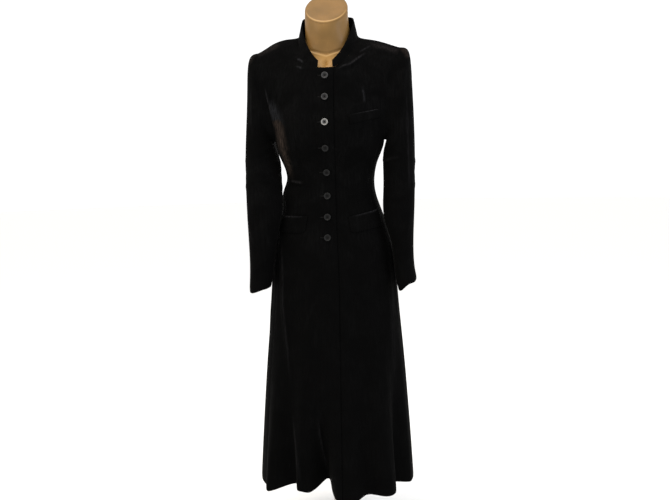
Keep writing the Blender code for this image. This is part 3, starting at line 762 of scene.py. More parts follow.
    def column_angle(self, column: int, row: int) -> float:
        """Where a column of the body lies in a section."""
        height, half_width = self.body[row][:2]
        if column == 1:
            return math.degrees(math.asin((self.overlap / half_width) ** (self.square / 2)))
        at_hip, at_underarm = (self.front_angles + self.side_angles + self.back_angles)[column]
        share = float(smoothstep((height - self.hip_top) / (self.body[-1][0] - self.hip_top)))
        return at_hip + (at_underarm - at_hip) * share

    def key(self, kind: str, side: Side, column: int, row: int) -> tuple:
        """A corner's name; the halves share the centre lines and the shoulder seam."""
        half = 0 if column in (0, self.centre_back) else side.value
        if kind == "yoke" and row == 0:
            kind, row = "body", len(self.body) - 1
        if kind == "yoke" and row == self.yoke_rows and 0 <= column - self.first_back < self.shoulder:
            column = self.last_front - (column - self.first_back)
        return kind, half, column, row

    def yoke_point(self, column: int, row: int) -> Point:
        """A corner above the underarm, below the neckline or the shoulder seam."""
        if column <= self.last_front:
            x1, y1, z1, roundness = self.front_yoke[column]
        else:
            x1, y1, z1, roundness = self.back_yoke[column - self.first_back]
        top_row = len(self.body) - 1
        height = self.body[top_row][0]
        x0, y0 = self.section_point(top_row, self.column_angle(column, top_row))
        share = 1 - (1 - row / self.yoke_rows) ** self.yoke_bunch
        over = (1 - share ** roundness) ** (1 / roundness)
        scye = {self.last_front: -1, self.first_back: 1}.get(column, 0)
        sideways = share ** self.scye_in if scye else share
        hollow = scye * self.scye_hollow * math.sin(math.pi * share)
        return x0 + (x1 - x0) * sideways, y1 + (y0 - y1) * over + hollow, height + (z1 - height) * share

    def panel_of(self, column: int, side: Side) -> str:
        """The panel that the faces right after a column belong to."""
        if column == 0:
            return "lap"
        if column < self.last_front:
            return f"front_{side.word}"
        return f"side_{side.word}" if column < self.first_back else f"back_{side.word}"

    def add_body(self, side: Side) -> None:
        """Adds the fronts, the sides and the back of one half."""
        top_row = len(self.body) - 1
        upper = (*range(self.last_front + 1), *range(self.first_back, self.centre_back + 1))
        for row, section in enumerate(self.body):
            for column in range(self.centre_back + 1):
                x, y = self.section_point(row, self.column_angle(column, row))
                under_arm = row == top_row and self.last_front < column < self.first_back
                z = section[0] - self.scye_drop * under_arm
                self.corner(self.key("body", side, column, row), (side.value * x, y, z))
        for column in upper:
            for row in range(1, self.yoke_rows + 1):
                x, y, z = self.yoke_point(column, row)
                self.corner(self.key("yoke", side, column, row), (side.value * x, y, z))
        cells = [("body", c, r) for r in range(top_row) for c in range(self.centre_back)]
        cells += [("yoke", c, r) for r in range(self.yoke_rows)
                  for c in (*range(self.last_front), *range(self.first_back, self.centre_back))]
        for kind, column, row in cells:
            steps = ((0, 0), (1, 0), (1, 1), (0, 1))
            keys = [self.key(kind, side, column + across, row + up) for across, up in steps]
            self.face(keys, self.panel_of(column, side), side)

    def scye_keys(self, side: Side) -> list[tuple]:
        """The corners round one armhole, from the shoulder tip down the front and up the back."""
        rows = self.yoke_rows
        front = [self.key("yoke", side, self.last_front, row) for row in range(rows, -1, -1)]
        under = [self.key("yoke", side, c, 0) for c in range(self.last_front + 1, self.first_back)]
        back = [self.key("yoke", side, self.first_back, row) for row in range(rows)]
        return front + under + back

    def sleeve_ring(self, row: tuple) -> list[Vector]:
        """The corners of one ring on the left; it is level across and leans with its two ends."""
        outer_x, outer_z, inner_x, inner_z, depth, y = row
        middle = Vector(((outer_x + inner_x) / 2, y, (outer_z + inner_z) / 2))
        arm = Vector((outer_x, y, outer_z)) - middle
        turns = [math.radians(turn) for turn in self.sleeve_turns]
        return [middle + arm * math.cos(t) + Vector((0, -depth * math.sin(t), 0)) for t in turns]

    def add_sleeve(self, side: Side) -> None:
        """Adds one sleeve, from the armhole through its full head to the cuff."""
        top = self.scye_keys(side)
        table = self.sleeve_left if side is Side.LEFT else self.sleeve_right
        rings = [self.sleeve_ring(row) for row in table]
        head = []
        for key, below, turn in zip(top, rings[0], self.sleeve_turns):
            x, y, z = self.points[self.index[key]]
            up = self.head_up + self.head_up_top * (0.5 + 0.5 * math.cos(math.radians(turn))) ** 2
            middle = (Vector((side.value * x, y, z)) + below) / 2
            head.append(middle + Vector((self.head_out, 0, up)))
        rings.insert(0, head)
        count = len(top)
        keys = [top]
        for number, ring in enumerate(rings):
            for n, p in enumerate(ring):
                self.corner(("sleeve", side, n, number), (side.value * p.x, p.y, p.z))
            keys.append([("sleeve", side, n, number) for n in range(count)])
        for upper, lower in zip(keys, keys[1:]):
            for n in range(count):
                m = (n + 1) % count
                self.face((upper[m], lower[m], lower[n], upper[n]), f"sleeve_{side.word}", side)
        self.creases += [(top[n], top[(n + 1) % count], self.scye_crease) for n in range(count)]

    def add_collar(self, side: Side) -> None:
        """Adds one half of the stand collar on the neckline."""
        front = range(1, self.last_front - self.shoulder + 2)
        columns = (*front, *range(self.first_back + self.shoulder, self.centre_back + 1))
        keys = []
        for column, (lean, rise) in zip(columns, self.collar_front + self.collar_back):
            base = self.key("yoke", side, column, self.yoke_rows)
            foot = Vector(self.points[self.index[base]])
            inward = (Vector(self.neck_centre) - foot.xy).normalized()
            stack = [base]
            for row in range(1, self.collar_rows + 1):
                share = row / self.collar_rows
                step = inward * lean * share ** self.collar_curve
                stack.append(("collar", base[1], column, row))
                self.corner(stack[-1], (foot.x + step.x, foot.y + step.y, foot.z + rise * share))
            keys.append(stack)
        for first, second in zip(keys, keys[1:]):
            for row in range(self.collar_rows):
                ring = (first[row], second[row], second[row + 1], first[row + 1])
                self.face(ring, "collar", side)
            self.creases.append((first[0], second[0], self.collar_crease))


# ---- Draped cloth -------------------------------------------------------------------------------
class ClothSurface:
    """The cut coat, subdivided fine: points, four-cornered faces, and the panel of each face."""

    def __init__(self, cut: CoatCut, levels: int) -> None:
        """Subdivides the cage.

        Args:
            cut: The cut of the coat.
            levels: How many times each face of the cage is halved both ways.
        """
        mesh = bpy.data.meshes.new("coat_cage")
        mesh.from_pydata(cut.points, [], cut.faces)
        mesh.attributes.new("panel", "INT", "FACE").data.foreach_set("value", cut.panels)
        crease = mesh.attributes.new("crease_edge", "FLOAT", "EDGE")
        edges = {tuple(sorted(e.vertices)): e.index for e in mesh.edges}
        for a, b, value in cut.creases:
            crease.data[edges[tuple(sorted((cut.index[a], cut.index[b])))]].value = value
        guide = bpy.data.objects.new("coat_cage", mesh)
        bpy.context.scene.collection.objects.link(guide)
        smooth = guide.modifiers.new("smooth", "SUBSURF")
        smooth.levels = smooth.render_levels = levels
        smooth.boundary_smooth = "PRESERVE_CORNERS"
        graph = bpy.context.evaluated_depsgraph_get()
        fine = bpy.data.meshes.new_from_object(guide.evaluated_get(graph))
        self.cut = cut
        self.points = np.zeros(len(fine.vertices) * 3)
        fine.vertices.foreach_get("co", self.points)
        self.points = self.points.reshape(-1, 3)
        self.faces = np.zeros(len(fine.polygons) * 4, int)
        fine.polygons.foreach_get("vertices", self.faces)
        self.faces = self.faces.reshape(-1, 4)
        self.panels = np.zeros(len(fine.polygons), int)
        fine.attributes["panel"].data.foreach_get("value", self.panels)
        self.normals = np.zeros_like(self.points)
        # Painted sheen and its tint, one value a point.
        self.painted_sheen = np.zeros(len(self.points))
        self.warmth = np.zeros(len(self.points))
        self.offset = np.zeros(len(self.points))
        bpy.data.objects.remove(guide)
        bpy.data.meshes.remove(mesh)
        bpy.data.meshes.remove(fine)

    def faces_of(self, names: Sequence[str]) -> np.ndarray:
        """The faces of the named panels."""
        return self.faces[np.isin(self.panels, [PANELS.index(name) for name in names])]

    def points_of(self, names: Sequence[str]) -> np.ndarray:
        """Which points the named panels use, seams included."""
        mask = np.zeros(len(self.points), bool)
        mask[self.faces_of(names).ravel()] = True
        return mask

    def find_normals(self) -> None:
        """Finds the normal at each point, weighted by the angle of each face there."""
        total = np.zeros_like(self.points)
        for n in range(4):
            here, on, back = (self.points[self.faces[:, (n + k) % 4]] for k in (0, 1, 3))
            on, back = on - here, back - here
            across = np.cross(on, back)
            size = np.linalg.norm(across, axis=1, keepdims=True)
            angle = np.arctan2(size, (on * back).sum(1, keepdims=True))
            np.add.at(total, self.faces[:, n], across / size * angle)
        self.normals = total / np.linalg.norm(total, axis=1, keepdims=True)

    def seam_points(self) -> list[int]:
        """Points where two panels meet, or where the cloth ends."""
        panels, found = self.panels.tolist(), set()
        for edge, uses in edge_uses(self.faces.tolist()).items():
            if len(uses) == 1 or len({panels[number] for _, _, number in uses}) > 1:
                found.update(edge)
        return sorted(found)


MM = 1000  # millimetres in a metre


def metres(points: Sequence[Pair]) -> tuple[Pair, ...]:
    """Points given in millimetres."""
    return tuple((across / MM, up / MM) for across, up in points)


@dataclass(frozen=True)
class Stroke:
    """A soft line drawn over the cloth from one side: a crease, or a streak of painted sheen.

    The path holds points across and up, in metres.  Across is x from the front and the back, and
    y from the sides.
    """

    cloth: Cloth
    facing: Facing
    width: float  # it fades out this far from its line
    amount: float  # a crease's height, or the strength of the painted sheen, from 0 to 1
    path: tuple[Pair, ...]
    warmth: float = 0.0  # 0 is a blue-grey painted sheen and 1 a brown one
    taper: float = 0.3  # it fades at either end over this share of its length
    turning: float = 0.3  # and where the cloth faces the side by less than this

    def strength(self, surface: ClothSurface) -> np.ndarray:
        """How strong the stroke is at each point of the cloth, from 0 to 1.

        Args:
            surface: The cloth.

        Returns:
            One value a point.
        """
        ways = np.array(self.facing.value)
        towards = surface.normals[:, :2] @ ways
        across = surface.points[:, 0 if self.facing.value[0] == 0 else 1]
        low, high = min(z for _, z in self.path) - self.width, max(z for _, z in self.path) + self.width
        near = surface.points_of(self.cloth.value) & (towards > 0)
        near &= (surface.points[:, 2] > low) & (surface.points[:, 2] < high)
        places = np.stack([across[near], surface.points[near, 2]], axis=1)
        path = np.array(self.path)
        lengths = np.linalg.norm(np.diff(path, axis=0), axis=1)
        travelled = np.concatenate([[0], np.cumsum(lengths)])
        best, share = np.full(len(places), np.inf), np.zeros(len(places))
        for start, end, length, before in zip(path, path[1:], lengths, travelled):
            t = np.clip((places - start) @ (end - start) / length ** 2, 0, 1)
            away = np.linalg.norm(places - (start + t[:, None] * (end - start)), axis=1)
            closer = away < best
            best[closer] = away[closer]
            share[closer] = (before + t[closer] * length) / travelled[-1]
        ends = smoothstep(share / self.taper) * smoothstep((1 - share) / self.taper)
        found = np.zeros(len(surface.points))
        found[near] = bump(best, self.width) * ends * smoothstep(towards[near] / self.turning)
        return found


def creases(cloth: Cloth, facing: Facing, *rows: tuple) -> tuple[Stroke, ...]:
    """Creases on one part of the coat, drawn from one side.

    Args:
        cloth: The part.
        facing: The side.
        rows: Width, height and then the points of each crease, in millimetres.
    """
    return tuple(Stroke(cloth, facing, width / MM, height / MM, metres(points))
                 for width, height, *points in rows)


def sheen_painted_on(cloth: Cloth, facing: Facing, *rows: tuple) -> tuple[Stroke, ...]:
    """Streaks of painted sheen on one part of the coat, drawn from one side.

    Args:
        cloth: The part.
        facing: The side.
        rows: Width of each in millimetres, the strength of its painted sheen, its warmth, and then the
        points in millimetres.
    """
    return tuple(Stroke(cloth, facing, width / MM, lean, metres(points), warmth)
                 for width, lean, warmth, *points in rows)


FOLDS = (
    Fold(-7.5, 13, -0.078, 0.46, 0.029), Fold(-18, 11, -0.024, 0.60, 0.006),
    Fold(-28, 8, -0.004, 0.60, 0.012), Fold(-40, 14, -0.050, 0.62, 0.014),
    Fold(-54, 10, 0.012, 0.60, -0.006), Fold(12, 17, 0.028, 0.60, -0.002),
    Fold(30, 11, -0.012, 0.55, 0.003), Fold(43, 12, 0.018, 0.60, 0.000),
    Fold(63, 13, -0.042, 0.66, 0.006), Fold(-84, 36, 0.007, 0.76, 0.002),
    Fold(-104, 16, -0.036, 0.70, 0.006), Fold(-132, 17, -0.044, 0.72, 0.007),
    Fold(-162, 17, -0.044, 0.70, 0.007), Fold(102, 16, -0.034, 0.68, 0.006),
    Fold(129, 17, -0.046, 0.72, 0.007), Fold(159, 17, -0.042, 0.70, 0.006),
)

CREASES = (
    *creases(
        Cloth.BODY, Facing.FRONT,
        # Collar base: two short pulls on the right, a long one over the left front.
        (9, 2.2, (-95, 1356), (-78, 1352), (-56, 1339)),
        (8, 1.8, (-96, 1333), (-78, 1330), (-54, 1321)),
        (9, 2.8, (26, 1318), (50, 1327), (78, 1340), (100, 1360), (122, 1374)),
        (8, -1.8, (40, 1308), (75, 1324), (108, 1350)),
        (9, 1.6, (92, 1372), (112, 1386), (132, 1392)),
        # Drag lines from the armholes towards the bust.
        (8, 2.2, (196, 1345), (190, 1325), (180, 1300)),
        (10, -2, (186, 1335), (178, 1300), (165, 1270)),
        (14, 3.4, (-176, 1285), (-170, 1243), (-160, 1221), (-146, 1190), (-128, 1150)),
        (12, -2.6, (-160, 1270), (-148, 1225), (-130, 1180)),
        (12, 3, (98, 1285), (103, 1250), (107, 1205)),
        (11, -2, (84, 1280), (88, 1245), (90, 1210)),
        (10, -1.6, (-88, 1280), (-90, 1240), (-86, 1195)),
        (9, 1.2, (-72, 1290), (-74, 1255), (-72, 1220)),
        # Under the bust, down to the waist.
        (13, 2.6, (-140, 1165), (-126, 1120), (-108, 1050)),
        (12, -2.2, (-118, 1150), (-104, 1100), (-94, 1045)),
        (12, -1.8, (120, 1150), (108, 1100), (102, 1045)),
        (12, 1.6, (137, 1140), (124, 1090), (112, 1040)),
        # Folds across the waist.
        (8, 2.4, (-122, 1022), (-98, 1014), (-60, 1011)),
        (8, -1.8, (-122, 1006), (-92, 1001), (-60, 1002)),
        (8, 1.8, (70, 1016), (98, 1018), (122, 1026)),
        (8, -1.4, (74, 1000), (100, 1002), (120, 1008)),
        # Small pulls between the buttons of the skirt front.
        (9, 1, (-14, 1072), (-44, 1078), (-66, 1090)),
        (9, 1, (30, 1072), (56, 1080), (80, 1092)),
        # The long fold down the right of the skirt, and its echo on the left.
        (14, 4.2, (-141, 920), (-133, 800), (-130, 659), (-118, 549), (-113, 440)),
        (18, -3.6, (-112, 880), (-104, 760), (-98, 640), (-92, 520)),
        (16, 3, (150, 840), (166, 680), (176, 400)),
        (20, -2.8, (128, 820), (138, 660), (146, 480)),
        (20, 2.2, (-52, 780), (-56, 640), (-58, 520)),
        (20, -2, (62, 800), (70, 640), (74, 500)),
        # Folds that run into the hem.
        (13, 4, (-108, 380), (-94, 273), (-84, 175)),
        (12, 3.8, (-36, 372), (-25, 286), (-12, 200)),
        (12, 2, (20, 320), (22, 250), (26, 180)),
        (14, -2.2, (86, 420), (90, 300), (94, 200)),
    ),
    *creases(
        Cloth.BODY, Facing.BACK,
        # Back: over the shoulder blades, in to the waist, and down the skirt.
        (14, 2.6, (-165, 1290), (-140, 1230), (-118, 1160)),
        (13, -2.2, (-148, 1290), (-122, 1225), (-100, 1165)),
        (14, 2.2, (168, 1270), (146, 1215), (122, 1150)),
        (12, -2, (150, 1285), (130, 1235), (112, 1180)),
        (10, 1.8, (-60, 1405), (-20, 1398), (34, 1402)),
        (9, 2.2, (-118, 1024), (-70, 1014), (-20, 1016)),
        (9, -1.8, (-108, 1004), (-60, 998), (-16, 1001)),
        (9, 2, (20, 1020), (66, 1014), (116, 1026)),
        (9, -1.6, (30, 1000), (72, 999), (112, 1006)),
        (18, 3.4, (-96, 900), (-108, 760), (-118, 560)),
        (18, 3, (90, 880), (104, 730), (120, 520)),
        (20, -2.8, (-40, 860), (-46, 700), (-52, 540)),
        (20, -3, (44, 840), (50, 680), (60, 500)),
    ),
    *creases(
        Cloth.BODY, Facing.OUTER_RIGHT,
        (16, 3, (-30, 880), (-36, 740), (-40, 560)),
        (18, -2.8, (34, 860), (44, 700), (56, 520)),
    ),
    *creases(
        Cloth.BODY, Facing.OUTER_LEFT,
        (16, 2.8, (-20, 880), (-28, 760), (-36, 600)),
        (18, -2.6, (40, 870), (50, 720), (60, 560)),
    ),
    *creases(
        Cloth.COLLAR, Facing.FRONT,
        # Collar: it buckles a little where it turns round the neck.
        (8, 1.2, (-66, 1410), (-58, 1386), (-46, 1362)),
        (8, 1.2, (70, 1418), (63, 1392), (52, 1366)),
    ),
    *creases(
        Cloth.COLLAR, Facing.BACK,
        (10, 1.2, (-60, 1452), (-10, 1456), (50, 1452)),
    ),
    *creases(
        Cloth.SLEEVES, Facing.FRONT,
        # Right sleeve, front and outer side.
        (10, 2.4, (-214, 1335), (-206, 1290), (-196, 1240)),
        (10, -1.8, (-198, 1320), (-188, 1275), (-180, 1235)),
        (11, 1.8, (-158, 1120), (-182, 1098), (-214, 1090)),
        (10, -1.8, (-150, 1084), (-178, 1070), (-206, 1068)),
        (11, 2, (-142, 1050), (-170, 1038), (-210, 1044)),
        (10, -2.2, (-144, 1018), (-172, 1010), (-200, 1018)),
        (11, 1.6, (-150, 985), (-180, 974), (-216, 984)),
        (12, 2.2, (-222, 930), (-210, 880), (-192, 830)),
        (10, 2, (-178, 800), (-198, 780), (-222, 774)),
    ),
    *creases(
        Cloth.SLEEVES, Facing.OUTER_RIGHT,
        (12, 1.4, (-70, 1080), (-30, 1066), (6, 1076)),
        (11, -1.1, (-86, 1044), (-48, 1034), (-12, 1044)),
        (12, 1.2, (-98, 1010), (-62, 998), (-24, 1008)),
        (14, 2.2, (20, 1340), (30, 1270), (26, 1190)),
    ),
    *creases(
        Cloth.SLEEVES, Facing.FRONT,
        # Left sleeve, front and outer side.
        (10, 2.2, (216, 1340), (212, 1290), (204, 1230)),
        (10, -1.8, (202, 1318), (196, 1270), (188, 1225)),
        (11, 1.4, (166, 1114), (190, 1096), (214, 1090)),
        (10, -1.6, (160, 1078), (186, 1064), (216, 1062)),
        (11, 1.6, (152, 1044), (182, 1032), (212, 1038)),
        (10, -2.2, (152, 1008), (180, 1002), (210, 1010)),
        (11, 1.4, (160, 972), (188, 966), (212, 974)),
        (12, 2.2, (226, 930), (216, 880), (200, 826)),
        (10, 2, (190, 806), (208, 790), (228, 788)),
    ),
    *creases(
        Cloth.SLEEVES, Facing.OUTER_LEFT,
        (12, 1.4, (-52, 1078), (-16, 1064), (22, 1074)),
        (11, -1.1, (-60, 1044), (-22, 1034), (14, 1044)),
        (12, 1.1, (-70, 1008), (-34, 998), (4, 1008)),
        (14, 2.2, (18, 1345), (28, 1275), (24, 1200)),
    ),
    *creases(
        Cloth.SLEEVES, Facing.BACK,
        # Backs of both sleeves, over the elbow.
        (12, 2.2, (-226, 1110), (-196, 1096), (-166, 1104)),
        (12, -2, (-222, 1064), (-192, 1050), (-162, 1056)),
        (12, 2.2, (228, 1104), (200, 1090), (170, 1098)),
        (12, -2, (226, 1056), (196, 1044), (168, 1050)),
    ),
)

# Painted sheen: brown and blue-grey streaks painted into the velvet's colour where creases, folds and the
# pile catch the light.
PAINTED_SHEEN_STROKES = (
    *sheen_painted_on(
        Cloth.BODY, Facing.FRONT,
        # The long painted sheen from the right armhole over the bust to the waist: grey, then brown.
        (7, 0.6, 0.15, (-177, 1280), (-174, 1265), (-169, 1243), (-160, 1221), (-146, 1198)),
        (28, 0.5, 0.0, (-170, 1245), (-152, 1215), (-138, 1180), (-132, 1140)),
        (24, 1.0, 1.0, (-152, 1205), (-135, 1165), (-128, 1125), (-118, 1080)),
        (16, 1.0, 1.0, (-140, 1180), (-132, 1145), (-124, 1105), (-113, 1060), (-101, 1015)),
        # Left bust.
        (5, 0.5, 0.1, (99, 1273), (103, 1249), (105, 1224)),
        # Collar base.
        (4.5, 0.8, 0.1, (-81, 1353), (-72, 1349), (-60, 1341)),
        (4, 0.7, 0.1, (-83, 1331), (-73, 1329), (-60, 1323)),
        (3.6, 0.75, 0.2, (30, 1320), (50, 1329), (67, 1334), (88, 1351), (112, 1367)),
        (3.5, 0.4, 0.2, (88, 1366), (104, 1376), (125, 1387)),
        (4.5, 0.55, 0.2, (208, 1350), (203, 1338), (190, 1308)),
        # Waist and hip.
        (5, 0.55, 0.3, (-108, 1019), (-90, 1015), (-66, 1012)),
        (7, 1.0, 0.3, (-145, 945), (-139, 925), (-131, 900)),
        # Long folds of the skirt.
        (5, 0.22, 0.2, (-141, 920), (-131, 798), (-129, 659), (-117, 549), (-113, 440)),
        (6, 0.22, 0.2, (-108, 380), (-94, 273), (-84, 175)),
        (5, 0.22, 0.2, (-36, 372), (-25, 286), (-12, 200)),
        (8, 0.1, 0.2, (168, 740), (174, 560), (177, 380)),
        # Shoulders, painted highlights where the pile looks up at the lamps, and the sleeve heads after
        # them.
        (14, 0.42, 0.6, (-212, 1364), (-187, 1378), (-127, 1402)),
        (12, 0.38, 0.5, (111, 1393), (161, 1380), (214, 1362)),
    ),
    *sheen_painted_on(
        Cloth.SLEEVES, Facing.FRONT,
        (12, 0.42, 0.7, (-200, 1385), (-216, 1366), (-226, 1340)),
        (12, 0.6, 0.9, (200, 1385), (218, 1368), (228, 1345)),
        # Sleeves, along the front fold.
        (5, 0.16, 0.2, (-215, 1300), (-217, 1230), (-218, 1161)),
        (5, 0.18, 0.2, (218, 1288), (222, 1130), (225, 958)),
    ),
    *sheen_painted_on(
        Cloth.BODY, Facing.BACK,
        # Hidden sides.
        (14, 0.45, 0.8, (-165, 1290), (-140, 1230), (-118, 1150)),
        (12, 0.38, 0.6, (168, 1270), (146, 1215), (122, 1140)),
        (6, 0.35, 0.3, (-118, 1024), (-70, 1014), (-20, 1016)),
        (6, 0.3, 0.3, (20, 1020), (66, 1014), (116, 1026)),
        (8, 0.22, 0.2, (-96, 900), (-108, 760), (-118, 560)),
        (8, 0.22, 0.2, (90, 880), (104, 730), (120, 520)),
    ),
    *sheen_painted_on(
        Cloth.BODY, Facing.OUTER_RIGHT,
        (7, 0.22, 0.2, (-30, 880), (-36, 740), (-40, 560)),
    ),
    *sheen_painted_on(
        Cloth.BODY, Facing.OUTER_LEFT,
        (7, 0.22, 0.2, (-20, 880), (-28, 760), (-36, 600)),
    ),
    *sheen_painted_on(
        Cloth.SLEEVES, Facing.OUTER_RIGHT,
        (6, 0.25, 0.3, (-70, 1080), (-30, 1066), (6, 1076)),
    ),
    *sheen_painted_on(
        Cloth.SLEEVES, Facing.OUTER_LEFT,
        (6, 0.25, 0.3, (-52, 1078), (-16, 1064), (22, 1074)),
    ),
)


@dataclass
class Overcoat:
    """The draped coat: folds, creases and painted sheen, and the panels that it is sewn from."""

    plain_levels: int = 3
    fine_levels: int = 4
    # Panels whose narrow creases need the finer cloth.
    fine_panels: tuple = ("front_right", "front_left", "sleeve_right", "sleeve_left", "collar")
    fold_power: float = 1.35
    hip: float = 0.92  # the folds of the skirt start below here
    swing: float = 0.0045  # the skirt hangs this far over to the wearer's left
    swing_reach: float = 0.22
    lift_top: float = 0.30
    lift_reach: float = 0.15
    # Fullness over the bust and the shoulder blades: facing, x, z, reach across and up, height.
    fullness: tuple = ((-1, 0.072, 1.185, 0.058, 0.070, 0.011), (1, 0.085, 1.260, 0.070, 0.080, 0.007))
    fullness_fade: float = 0.05
    # Where the sides of the bodice stand out: side, height, reach, how far; from this x on.
    side_fullness: tuple = (
        (Side.RIGHT, 0.978, 0.052, 0.0115), (Side.RIGHT, 1.095, 0.060, 0.005),
        (Side.LEFT, 1.105, 0.050, 0.003),
    )
    flank: Pair = (0.05, 0.06)
    # The right shoulder drops at its tip and stands up near the neck: by how much, x and reach.
    tip_drop: tuple = (0.004, 0.15, 0.05)
    neck_lift: tuple = (0.0075, 0.125, 0.080)
    shoulder_fade: float = 0.20
    # Waves of the cuffs: side, degrees round the cuff, half width, and the drop of the edge.
    cuffs: tuple = (
        (Side.RIGHT, 60, 60, 0.009), (Side.RIGHT, -30, 50, -0.004), (Side.RIGHT, 170, 60, -0.002),
        (Side.LEFT, 118, 45, 0.016), (Side.LEFT, 0, 60, -0.006), (Side.LEFT, -90, 60, 0.006),
    )
    cuff_reach: float = 0.045
    seam_dip: float = 0.0009  # the cloth turns in towards its seams and edges by this much
    seam_reach: float = 0.0045
    seam_pucker: float = 0.22  # share by which the stitches make the dip uneven
    pucker_length: float = 0.021
    least_mitre: float = 0.3  # a sharp corner of a panel is drawn in no further than this allows
    wall_sharp: float = 60.0
    # The size that each panel was cut to, width and length, and the share of it that is cloth.
    cuts: dict = field(default_factory=lambda: {
        "front": (0.38, 1.22, 0.60), "side": (0.27, 1.00, 0.60), "back": (0.34, 1.32, 0.55),
        "sleeve": (0.34, 0.64, 0.76), "collar": (0.45, 0.060, 0.72),
    })

    def drape(self, levels: int) -> ClothSurface:
        """Subdivides the cut, fills it out, folds it, creases it and paints its sheen.

        Args:
            levels: How many times each face of the cage is halved both ways.

        Returns:
            The finished surface.
        """
        surface = ClothSurface(CoatCut(), levels)
        cut = surface.cut
        x = surface.points[:, 0]
        lap = smoothstep((cut.overlap + cut.lap_fade - x) / cut.lap_fade)
        surface.offset = (cut.cloth + cut.lap_gap) * lap
        self.fill_out(surface)
        self.hang_skirt(surface)
        self.wave_cuffs(surface)
        surface.find_normals()
        self.crease(surface)
        surface.find_normals()
        return surface

    def fill_out(self, surface: ClothSurface) -> None:
        """Adds the fullness of the chest, back and sides, and makes the shoulders unlike."""
        p = surface.points
        for facing, x, z, reach_x, reach_z, height in self.fullness:
            near = smoothstep(facing * p[:, 1] / self.fullness_fade)
            away = np.hypot((np.abs(p[:, 0]) - x) / reach_x, (p[:, 2] - z) / reach_z)
            p[:, 1] += facing * height * bump(away, 1.0) * near
        body = surface.points_of(Cloth.BODY.value)
        start, fade = self.flank
        for side, z, reach, out in self.side_fullness:
            flank = body * smoothstep((side.value * p[:, 0] - start) / fade)
            p[:, 0] += side.value * out * bump(p[:, 2] - z, reach) * flank
        high = smoothstep((p[:, 2] - surface.cut.body[-1][0]) / self.shoulder_fade)
        drop, drop_x, drop_reach = self.tip_drop
        lift, lift_x, lift_reach = self.neck_lift
        lowered = drop * smoothstep((-p[:, 0] - drop_x) / drop_reach)
        p[:, 2] += (lift * bump(p[:, 0] + lift_x, lift_reach) - lowered) * high

    def hang_skirt(self, surface: ClothSurface) -> None:
        """Moves the skirt into its folds."""
        p = surface.points
        low = surface.points_of(Cloth.BODY.value) & (p[:, 2] < self.hip)
        x, y, z = p[low].T
        angle = np.degrees(np.arctan2(x, -y))
        out, lift = np.zeros(len(x)), np.zeros(len(x))
        for fold in FOLDS:
            grown = np.clip((fold.top - z) / (fold.top - surface.cut.hem), 0, 1) ** self.fold_power
            shape = bump(degrees_from(fold.angle, angle), fold.half_width)
            out += fold.depth * grown * shape
            lift += fold.lift * shape * smoothstep((self.lift_top - z) / self.lift_reach)
        radius = np.hypot(x, y)
        p[low, 0] += x / radius * out + self.swing * smoothstep((self.hip - z) / self.swing_reach)
        p[low, 1] += y / radius * out
        p[low, 2] += lift

    def wave_cuffs(self, surface: ClothSurface) -> None:
        """Lets the edges of the cuffs dip and rise."""
        for side, centre, half_width, drop in self.cuffs:
            table = surface.cut.sleeve_left if side is Side.LEFT else surface.cut.sleeve_right
            outer_x, outer_z, inner_x, _, _, centre_y = table[-1]
            used = surface.points_of((f"sleeve_{side.word}",))
            x, y, z = surface.points[used].T
            turn = np.degrees(np.arctan2(-(y - centre_y), side.value * x - (outer_x + inner_x) / 2))
            near_edge = smoothstep((outer_z + self.cuff_reach - z) / self.cuff_reach)
            surface.points[used, 2] -= drop * bump(degrees_from(centre, turn), half_width) * near_edge

    def crease(self, surface: ClothSurface) -> None:
        """Draws the creases, the turned-in seams and the painted sheen."""
        out = sum(stroke.amount * stroke.strength(surface) for stroke in CREASES)
        # Painted sheen: each point keeps the strength and tint of its strongest stroke.
        for stroke in PAINTED_SHEEN_STROKES:
            strength = stroke.amount * stroke.strength(surface)
            surface.warmth[strength > surface.painted_sheen] = stroke.warmth
            surface.painted_sheen = np.maximum(surface.painted_sheen, strength)
        seam_points = surface.seam_points()
        tree = KDTree(len(seam_points))
        for v in seam_points:
            tree.insert(surface.points[v], v)
        tree.balance()
        away = np.array([tree.find(p)[2] for p in surface.points])
        wave = np.sin(surface.points[:, 2] * 2 * math.pi / self.pucker_length)
        pucker = 1 + self.seam_pucker * wave
        out = out - self.seam_dip * np.exp(-(away / self.seam_reach) ** 2) * pucker
        surface.points += surface.normals * out[:, None]

    def panel(self, name: str, surface: ClothSurface, velvet: Material) -> Object:
        """Builds one panel as a thin wall of cloth, short of the seams round it.

        Args:
            name: The panel, which is also the node that it stands for.
            surface: The draped cloth.
            velvet: The finish.

        Returns:
            The panel.
        """
        cut = surface.cut
        names = (name, "lap") if name.startswith("front") else (name,)
        faces = surface.faces_of(names).tolist()
        used = sorted({v for face in faces for v in face})
        place = {v: n for n, v in enumerate(used)}
        outer, normals = surface.points[used].copy(), surface.normals[used]
        count = len(used)
        rim = [uses[0][:2] for uses in edge_uses(faces).values() if len(uses) == 1]
        inward: dict[int, list] = {}
        for a, b in rim:
            for v in (a, b):
                away = np.cross(surface.normals[v], surface.points[b] - surface.points[a])
                inward.setdefault(v, []).append(away / np.linalg.norm(away))
        for v, ways in inward.items():
            mitre = 1 + (ways[0] @ ways[1] if len(ways) == 2 else 0)
            outer[place[v]] += sum(ways) / max(mitre, self.least_mitre) * cut.seam_pull
        if name == "front_left":
            outer -= normals * surface.offset[used][:, None]
        built = [[place[v] for v in face] for face in faces]
        built += [[place[v] + count for v in reversed(face)] for face in faces]
        built += [[place[b], place[a], place[a] + count, place[b] + count] for a, b in rim]
        points = np.concatenate([outer, outer - normals * cut.cloth])
        piece = make_object(f"velvet_{name}", points, built, velvet, self.wall_sharp)
